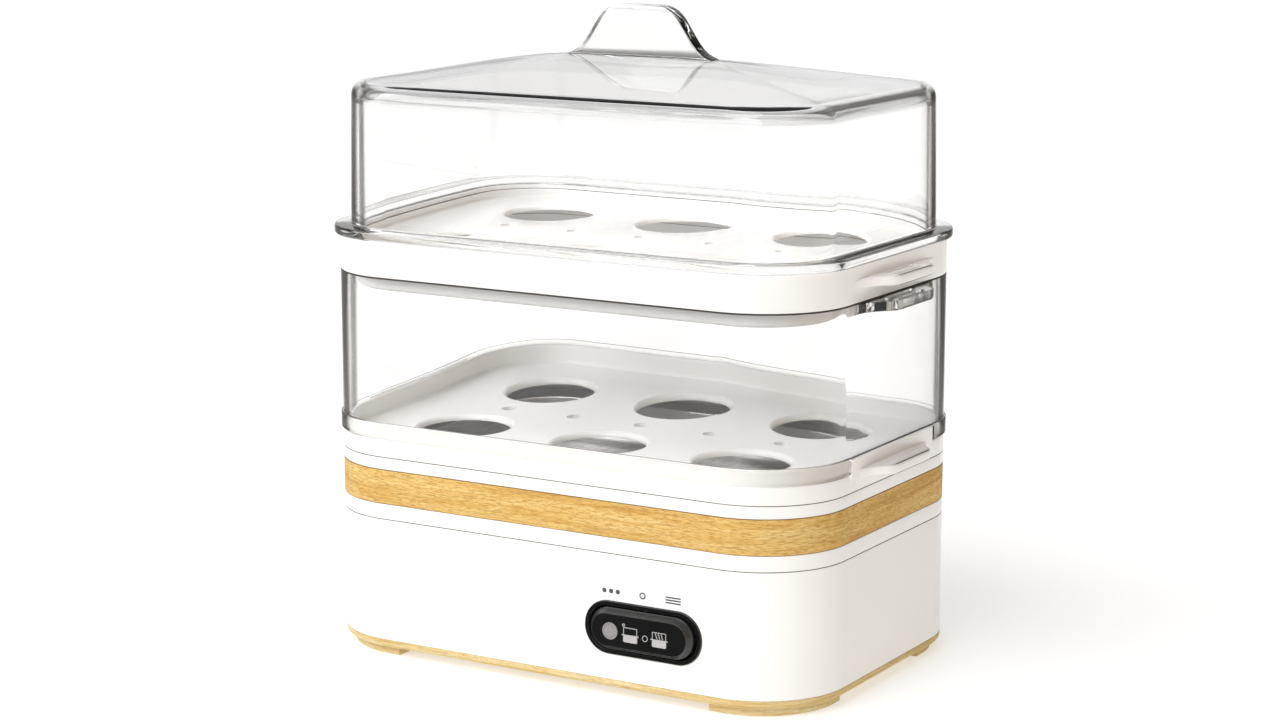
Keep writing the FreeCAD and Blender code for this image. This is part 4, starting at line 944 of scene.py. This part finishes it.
def egg_seat_cutters(top, thick):
    """Six round seats with bevelled mouths, and five steam holes between them."""
    cutters = []
    for column in (-1, 0, 1):
        for row in (-1, 1):
            place = Vector((EGG_SEAT_X * column, EGG_SEAT_Y * row, top - thick - 1)) * MM
            seat = round_bar("seat", place, UP, EGG_SEAT_RADIUS * MM, (thick + 1 - 1.3) * MM, 96)
            end_face(seat, UP)
            for widen, rise in ((0.12, 0.35), (0.38, 0.42), (0.75, 0.35), (1.3, 0.18), (1.6, 1.0)):
                draw_out(UP * rise * MM)
                mesh = bmesh.from_edit_mesh(seat.data)
                now = max((v.co - place).xy.length for v in mesh.verts if v.select)
                grow = (EGG_SEAT_RADIUS + widen) * MM / now
                bpy.ops.transform.resize(value=(grow, grow, 1), center_override=place)
            put_down()
            cutters.append(seat)
    for step in range(-2, 3):
        place = Vector((step * EGG_SEAT_X / 2, 0, 0)) * MM
        cutters.append(upright_bar("steam_hole", place, 2.5, top - thick - 1, top + 1))
    return cutters


def make_lower_tray():
    """The lower egg tray. Its upstand centres the clear sleeve."""
    r = SEAM_ROUND / MM
    ledge = TRAY_LEDGE
    floor = LOWER_RIM - 5.3
    tray = case_block("lower_egg_tray", 0, DECK_TOP + r, ledge - 0.4)
    upstand = [(1.3, 0), (0, LOWER_RIM - ledge - 0.8)] + shoulder(0.8, 0.8) + [(0.2, 0)]
    basin = lip(0.8, 0.8) + [(0, -(LOWER_RIM - floor - 0.8 - 1.0))] + shoulder(1.0, -1.0)
    work_end(tray, UP, shoulder(0.4, 0.4, 3) + upstand + basin)
    rib = [(3.5 - r, 0), (0, 1.4), (1.5, 0), (0, -(1.4 + floor - 1.8 - DECK_TOP))]
    work_end(tray, DOWN, shoulder(r, r, 3) + rib)
    put_down()
    low = Vector((87.9, -28.6, ledge - 1.5)) * MM
    high = Vector((90.6, 28.6, LOWER_RIM)) * MM
    section = rounded_block("side_section", low, high, 0.5 * MM, steps=4)
    end_face(section, UP)
    put_down()
    tab = side_tab("lower_tab", 72.6, 88.2)
    combine(tray, both_ends([section, tab]), "UNION")
    combine(tray, egg_seat_cutters(floor, 1.8), "DIFFERENCE")
    finish_piece(tray, "lower_tray", ["lower_tray"], white)


def make_clear_sleeve():
    """The clear wall of the lower tier, with a skirt that laps over the lower tray."""
    step = 76.5
    sleeve = case_block("clear_wall", -0.7, SLEEVE_BOTTOM + 0.5, SKIRT_TOP - 0.3)
    wall = [(0.4, 0), (0, SLEEVE_TOP - SKIRT_TOP - 0.35)] + shoulder(0.35, 0.35, 3)
    work_end(sleeve, UP, shoulder(0.3, 0.3, 3) + wall + [(1.5, 0), (0.35, 0)])
    skirt = [(0.5, 0.5), (1.75, 0), (0, -(step - SLEEVE_BOTTOM)), (0.65, 0)]
    work_end(sleeve, DOWN, skirt)
    open_through(sleeve, UP, step, SLEEVE_TOP)
    put_down()
    notches = []
    for side in (1, -1):
        inner = 84 * side
        outer = 93 * side
        low = Vector((min(inner, outer), -29.1, SLEEVE_BOTTOM - 1)) * MM
        high = Vector((max(inner, outer), 29.1, step + 0.1)) * MM
        notch = rounded_block("notch", low, high, 0.4 * MM, upright=0, steps=3)
        put_down()
        notches.append(notch)
    combine(sleeve, notches, "DIFFERENCE")
    draw_out_tabs(sleeve, SLEEVE_TOP - 0.4)
    combine(sleeve, both_ends(tab_slots(SLEEVE_TOP + 1, SLEEVE_TOP - 4)), "DIFFERENCE")
    finish_piece(sleeve, "sleeve", ["clear_sleeve"], clear)


def make_upper_tray():
    """The upper egg tray, which closes the lower tier; its rib drops inside the sleeve."""
    floor = UPPER_RIM - 5.3
    tray = case_block("upper_egg_tray", 0, SLEEVE_TOP + 0.4, UPPER_RIM - 0.4)
    rim = shoulder(0.4, 0.4, 3) + [(1.0, 0)] + lip(0.8, 0.8)
    basin = [(0, -(UPPER_RIM - floor - 0.8 - 1.0))] + shoulder(1.0, -1.0)
    work_end(tray, UP, rim + basin)
    under = floor - 1.8
    skirt = shoulder(0.4, 0.4, 3) + [(1.8, 0), (0, SLEEVE_TOP - under), (2.8, 0)]
    drop = under - UPPER_RIB_BOTTOM
    rib = [(0, drop - 1.2)] + shoulder(1.2, 1.2, 5) + [(0.6, 0), (0, -drop)]
    work_end(tray, DOWN, skirt + rib)
    put_down()
    draw_out_tabs(tray, 131.1)
    combine(tray, both_ends(tab_slots(131.1 + 1, 131.1 - 0.7)), "DIFFERENCE")
    combine(tray, egg_seat_cutters(floor, 1.8), "DIFFERENCE")
    finish_piece(tray, "upper_tray", ["upper_tray"], white)


# ---------------------------------------------------------------- lid


# the fin's outline: height above the ridge and half length
FIN_LINE = [
    (0.1, 26.8),
    (0.4, 26.0),
    (0.9, 24.7),
    (1.7, 23.2),
    (2.9, 21.8),
    (4.7, 20.1),
    (8.7, 17.3),
    (12.2, 14.9),
    (13.6, 13.6),
    (14.9, 12.0),
    (15.8, 10.3),
    (16.3, 8.9),
    (16.5, 7.6),
]
RIDGE_HALF_X = 27.0
RIDGE_HALF_Y = 2.8


def set_reach(piece, half_x, half_y):
    """Stretches the selected end to a half length and a half width."""
    mesh = bmesh.from_edit_mesh(piece.data)
    chosen = [vertex.co for vertex in mesh.verts if vertex.select]
    wide = half_x * MM / max(place.x for place in chosen)
    deep = half_y * MM / max(place.y for place in chosen)
    bpy.ops.transform.resize(value=(wide, deep, 1), center_override=(0, 0, 0))


def grow_to(piece, height, half_x, half_y):
    """Carries the selected end up to a height, at a new half length and half width."""
    mesh = bmesh.from_edit_mesh(piece.data)
    rise = height * MM - next(vertex.co.z for vertex in mesh.verts if vertex.select)
    draw_out((0, 0, rise))
    set_reach(piece, half_x, half_y)


def divide_straights(piece, cuts):
    """More points along the long straight edges, so that a crown can curve over them."""

    def long_and_level(edge):
        run = edge.verts[0].co - edge.verts[1].co
        return abs(run.z) < 1e-6 and run.length > 30 * MM

    pick_edges(piece, long_and_level)
    bpy.ops.mesh.subdivide(number_cuts=cuts)


def crown(piece, eaves, rise, start_x, start_y, end_x, end_y):
    """The crowned roof, from the eaves to the ridge. Its outline turns oval as it rises."""
    oval = 0.0
    for step in range(1, 15):
        share = step / 14
        level = eaves + rise * (1 - (1 - share) ** 1.4)
        half_x = start_x + (end_x - start_x) * share
        half_y = start_y + (end_y - start_y) * share
        grow_to(piece, level, half_x, half_x)
        rounder = share**0.9
        bpy.ops.transform.tosphere(value=(rounder - oval) / (1.0001 - oval))
        oval = rounder
        set_reach(piece, half_x, half_y)


def lid_fin(ridge):
    """The fin to lift the lid by. It flares into the roof and has a flat top with round ends."""
    low = Vector((-RIDGE_HALF_X, -RIDGE_HALF_Y, ridge - 1.4)) * MM
    high = Vector((RIDGE_HALF_X, RIDGE_HALF_Y, ridge - 0.1)) * MM
    fin = rounded_block("fin", low, high, 1.4 * MM, steps=6)
    end_face(fin, UP)
    for rise, half in FIN_LINE:
        thin = RIDGE_HALF_Y if rise < 15 else RIDGE_HALF_Y - 0.25 * (rise - 14.9)
        grow_to(fin, ridge + rise, half, thin)
    put_down()
    return fin


def make_lid():
    """The clear cover: flange, drafted wall, crowned roof and fin, worked as one closed wall."""
    flange_top = 138.4
    outset = 1.8
    inset = 3.6
    draft = 0.7
    wall_top = 179.4
    eaves = 183.9
    ridge = 191.9
    thick = 2.2
    lid = case_block("clear_lid", -outset, UPPER_RIM + 0.8, flange_top - 0.8)
    divide_straights(lid, 9)
    flange = shoulder(0.8, 0.8) + [(outset + inset - 0.8 - 0.5, 0)] + lip(0.5, -0.5, 3)
    rounding = shoulder(3.5, eaves - wall_top, 8)
    work_end(lid, UP, flange + [(draft, wall_top - flange_top - 0.5)] + rounding)
    top_x = HALF_X / MM - inset - draft - 3.5
    top_y = HALF_Y / MM - inset - draft - 3.5
    crown(lid, eaves, ridge - eaves, top_x, top_y, RIDGE_HALF_X, RIDGE_HALF_Y)
    bead = UPPER_RIM - LID_BOTTOM
    under = shoulder(0.8, 0.8) + [(outset + inset - 0.8, 0), (0, bead - 0.4)]
    under += shoulder(0.4, 0.4, 3)
    inside = [(thick - 0.8, 0), (0.4, 0), (draft, -(wall_top - thick - LID_BOTTOM))]
    work_end(lid, DOWN, under + inside + shoulder(3.5, -(eaves - wall_top), 8))
    hollow = (top_x - thick, top_y - thick, RIDGE_HALF_X - thick, 0.6)
    crown(lid, eaves - thick, ridge - eaves, *hollow)
    combine(lid, [lid_fin(ridge)], "UNION")
    finish_piece(lid, "lid", ["lid"], lid_clear, 40)


# ---------------------------------------------------------------- rocker switch


def make_switch_frame():
    low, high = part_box("switch_bezel")
    front = Vector((low.x, -(HALF_Y + 0.1 * MM), low.z))
    back = Vector((high.x, -HALF_Y, high.z))
    bezel = rounded_block("switch_frame", front, back, 8.45 * MM, upright=1, steps=24)
    work_end(bezel, FRONT, shoulder(0.5, 0.5, 5) + [(0.75, 0.1)] + lip(0.25, 0.25, 3))
    work_end(bezel, BACK, [(0.5, 0), (0, 8.0), (1.0, 0)])
    open_front_to_back(bezel, 60)
    finish_piece(bezel, "base", ["switch_bezel"], black)


def make_rocker():
    """The rocker cap: a bevelled face, a seat for the lens, and hollows either side of its web."""
    low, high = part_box("rocker")
    middle = (low + high) / 2
    front = Vector((low.x, low.y + 2.3 * MM, low.z))
    cap = rounded_block("rocker_cap", front, high, 6.56 * MM, upright=1, steps=24)
    bevel = shoulder(0.15, 0.25, 2) + [(1.15, 1.75)] + shoulder(0.3, 0.3, 4) + [(0.6, 0)]
    work_end(cap, FRONT, bevel)
    put_down()
    lens_low, lens_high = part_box("rocker_lens")
    place = Vector(((lens_low.x + lens_high.x) / 2, lens_high.y, (lens_low.z + lens_high.z) / 2))
    radius = (lens_high.x - lens_low.x) / 2
    seat = round_bar("lens_seat", place, FRONT, radius + 0.05 * MM, 4 * MM)
    cutters = [seat]
    for side in (-1, 1):
        inner = middle.x + side * 3.2 * MM
        outer = middle.x + side * 13.5 * MM
        corner_low = Vector((min(inner, outer), low.y + 3.3 * MM, middle.z - 4.8 * MM))
        corner_high = Vector((max(inner, outer), high.y + 1 * MM, middle.z + 4.8 * MM))
        cutters.append(rounded_block("hollow", corner_low, corner_high, 1 * MM, upright=1, steps=5))
    pin_low, pin_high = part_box("rocker_pin")
    pin = (pin_low + pin_high) / 2
    start = Vector((pin.x, pin.y, pin_low.z - 1 * MM))
    cutters.append(round_bar("pin_bore", start, UP, 1.25 * MM, 20 * MM, 40))
    combine(cap, cutters, "DIFFERENCE")
    finish_piece(cap, "rocker", ["rocker"], black)


def make_lens():
    low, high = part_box("rocker_lens")
    place = Vector(((low.x + high.x) / 2, high.y, (low.z + high.z) / 2))
    radius = (high.x - low.x) / 2
    deep = (high.y - low.y) - 0.15 * MM
    lens = round_bar("switch_lens", place, FRONT, radius, deep, 72)
    dome = shoulder(0.15, 0.15, 3) + [(0.3, 0), (0.12, -0.18), (0.12, 0.06)]
    dome += [(0.5, 0.06), (0.5, 0.03), (0.5, 0.01)]
    work_end(lens, FRONT, dome)
    finish_piece(lens, "rocker", ["rocker_lens"], lens_grey)


def bar_mark(name, x, z, wide, high, y, thick=0.08, corner=0.2, turn=0.0):
    """A thin printed bar on the front of the switch or case."""
    low = Vector((x - wide / 2, y - thick / 2, z - high / 2)) * MM
    top = Vector((x + wide / 2, y + thick / 2, z + high / 2)) * MM
    mark = rounded_block(name, low, top, corner * MM, upright=1, steps=5)
    put_down()
    if turn:
        take(mark)
        bpy.ops.mesh.select_all(action="SELECT")
        centre = Vector((x, y, z)) * MM
        bpy.ops.transform.rotate(value=turn, orient_axis="Y", center_override=centre)
        put_down()
    return mark


def ring_mark(name, x, z, radius, wide, y, thick=0.08):
    """A thin printed ring."""
    start = Vector((x, y + thick / 2, z)) * MM
    mark = round_bar(name, start, FRONT, radius * MM, thick * MM, 40)
    for facing in (FRONT, BACK):
        work_end(mark, facing, [(wide, 0)])
    open_front_to_back(mark, 20)
    return mark


def pot_mark(x, z, y, steam):
    """A small pot with its lid, and steam if it is cooking."""
    marks = [bar_mark("pot_body", x, z - 1.55, 5.0, 2.1, y, corner=0.4)]
    marks.append(bar_mark("pot_rim", x, z - 0.35, 6.0, 0.36, y, corner=0.15))
    marks.append(bar_mark("lid_left", x - 2.35, z + 0.9, 0.22, 2.2, y, corner=0.1))
    marks.append(bar_mark("lid_right", x + 2.35, z + 0.9, 0.22, 2.2, y, corner=0.1))
    marks.append(bar_mark("lid_top", x, z + 2.0, 4.9, 0.22, y, corner=0.1))
    if steam:
        for place in (x - 1.0, x, x + 1.0):
            marks.append(bar_mark("steam", place, z + 0.85, 0.26, 1.9, y, corner=0.1, turn=0.35))
    else:
        marks.append(ring_mark("knob", x - 2.35, z + 2.75, 0.5, 0.25, y))
    return marks


def make_signs():
    """Plain printed signs: two pots and a ring on the rocker, three position signs above it."""
    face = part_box("rocker")[0].y / MM
    marks = pot_mark(33.2, 21.9, face, False)
    marks.append(ring_mark("ring", 38.4, 21.4, 1.0, 0.22, face))
    marks += pot_mark(43.4, 21.9, face, True)
    signs = joined(marks, "rocker_signs")
    finish_piece(signs, "rocker", [], print_grey)
    y = -HALF_Y / MM
    level = 33.8
    marks = [ring_mark("off", 35.8, level, 1.1, 0.42, y)]
    for step in (-1, 0, 1):
        marks.append(bar_mark("dot", 24.6 + step * 2.4, level, 1.5, 1.5, y, corner=0.74))
        marks.append(bar_mark("dash", 46.6, level + step * 0.85, 5.4, 0.46, y, corner=0.2))
    signs = joined(marks, "position_signs")
    finish_piece(signs, "base", [], print_dark)


def make_cord_bush():
    """The cord's gland at the back: a flange with a rounded edge, and the bore through it."""
    low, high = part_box("cord_gland")
    middle = (low + high) / 2
    start = Vector((middle.x, HALF_Y, middle.z))
    gland = round_bar("cord_bush", start, BACK, 8.5 * MM, high.y - HALF_Y - 0.8 * MM)
    work_end(gland, BACK, shoulder(0.8, 0.8, 5) + [(2.6, 0)] + lip(1.7, 0.9, 5))
    work_end(gland, FRONT, [(2.5, 0), (0, 2.6)])
    end_face(gland, FRONT)
    draw_out(FRONT * 0.05 * MM)
    grow = 7.6 / 6.0
    centre = Vector((middle.x, 0, middle.z))
    bpy.ops.transform.resize(value=(grow, 1, grow), center_override=centre)
    rest = (HALF_Y - low.y) / MM - 2.65
    draw_out(FRONT * rest * MM)
    bpy.ops.mesh.inset(thickness=4.2 * MM, depth=0)
    open_front_to_back(gland, 40)
    finish_piece(gland, "base", ["cord_gland"], black)


# ---------------------------------------------------------------- studio


AZIMUTH = math.radians(30.80)
ELEVATION = math.radians(10.84)


def lay_floor():
    put_down()
    bpy.ops.mesh.primitive_plane_add(size=8, location=(0, 0, 0))
    floor = settle("studio_floor")
    finish = Finish("studio_floor")
    greys = [(0.3, (0.62, 0.62, 0.62)), (0.7, (0.64, 0.64, 0.64))]
    finish.colour(finish.shades(finish.noise(3, 2), greys))
    finish.set(Roughness=0.7, Emission_Color=(1, 1, 1, 1), Emission_Strength=0.49)
    floor.data.materials.append(finish.material)


class Room(Finish):
    """The studio's walls, made of the same kinds of node as a finish."""

    def __init__(self, name):
        world = bpy.data.worlds.new(name)
        bpy.context.scene.world = world
        world.use_nodes = True
        self.tree = world.node_tree
        self.coords = self.tree.nodes.new("ShaderNodeTexCoord")


def paint_room():
    """White walls in front and behind, and warm grey flags at the sides, dimmer higher up."""
    room = Room("studio")
    place = room.coords.outputs["Generated"]
    across = room.add("VectorMath", operation="DOT_PRODUCT")
    across.inputs[1].default_value = (math.cos(AZIMUTH), math.sin(AZIMUTH), 0)
    room.join(place, across.inputs[0])
    stops = []
    for aside, bright in ((0.0, 1.3), (0.40, 1.2), (0.56, 0.24), (0.9, 0.24), (0.98, 0.5)):
        warm = max(0.0, 1.0 - bright)
        stops.append((aside, (bright, bright * (1 - 0.04 * warm), bright * (1 - 0.10 * warm))))
    walls = room.shades(room.reckon("ABSOLUTE", across.outputs["Value"]), stops)
    dimmed = room.add("VectorMath", operation="SCALE")
    room.join(walls, dimmed.inputs[0])
    dimmer = room.between(room.part_of(place, "Z"), 1.0, 0.55, 0.3, 0.75)
    room.join(dimmer, dimmed.inputs["Scale"])
    seen = room.add("LightPath").outputs["Is Camera Ray"]
    background = room.tree.nodes["Background"]
    colour = room.blend(seen, dimmed.outputs["Vector"], (1.52, 1.52, 1.52))
    room.join(colour, background.inputs["Color"])
    background.inputs["Strength"].default_value = 0.69


def hang_lamp(kind, name, place, towards, energy):
    """A lamp at a place; the direction points from the cooker back to the lamp."""
    put_down()
    bpy.ops.object.light_add(type=kind, location=place)
    lamp = bpy.context.object
    lamp.name = name
    lamp.data.energy = energy
    lamp.rotation_euler = Vector(towards).to_track_quat("Z", "Y").to_euler()
    return lamp.data


def hang_lamps():
    """A large soft key from the front left, a warm fill from the right, and a soft strip."""
    key = hang_lamp("SUN", "soft_key", (-1, -1.5, 2), (-0.15, -0.72, 0.68), 2.1)
    key.angle = math.radians(50)
    fill = hang_lamp("SUN", "warm_fill", (2, 0, 1), (0.95, 0.0, 0.3), 0.42)
    fill.color = (1.0, 0.68, 0.34)
    fill.angle = math.radians(70)
    strip = hang_lamp("AREA", "soft_strip", (-0.9, -0.5, 0.75), (-0.9, -0.5, 0.65), 4)
    strip.shape = "RECTANGLE"
    strip.size = 0.5
    strip.size_y = 0.9


def set_camera():
    """Looks from the front right and a little above."""
    height = cad_high.z - cad_low.z
    away = Vector(
        (
            math.sin(AZIMUTH) * math.cos(ELEVATION),
            -math.cos(AZIMUTH) * math.cos(ELEVATION),
            math.sin(ELEVATION),
        )
    )
    across = Vector((math.cos(AZIMUTH), math.sin(AZIMUTH), 0))
    aim = Vector((0, 0, cad_low.z + height * 0.4491)) - across * 0.742 * MM
    put_down()
    bpy.ops.object.camera_add(location=aim + away * 0.9507)
    camera = bpy.context.object
    camera.name = "studio_camera"
    camera.rotation_euler = away.to_track_quat("Z", "Y").to_euler()
    camera.data.lens = 82.5
    camera.data.sensor_width = 36
    bpy.context.scene.camera = camera


finish_inner_pieces()
make_feet()
make_base_plate()
make_lower_housing()
make_upper_housing()
make_wood_band()
make_top_deck()
make_heating_pan()
make_pan_seal()
make_lower_tray()
make_clear_sleeve()
make_upper_tray()
make_lid()
make_switch_frame()
make_rocker()
make_lens()
make_signs()
make_cord_bush()
lay_floor()
paint_room()
hang_lamps()
set_camera()
bpy.context.scene.view_settings.view_transform = "Standard"
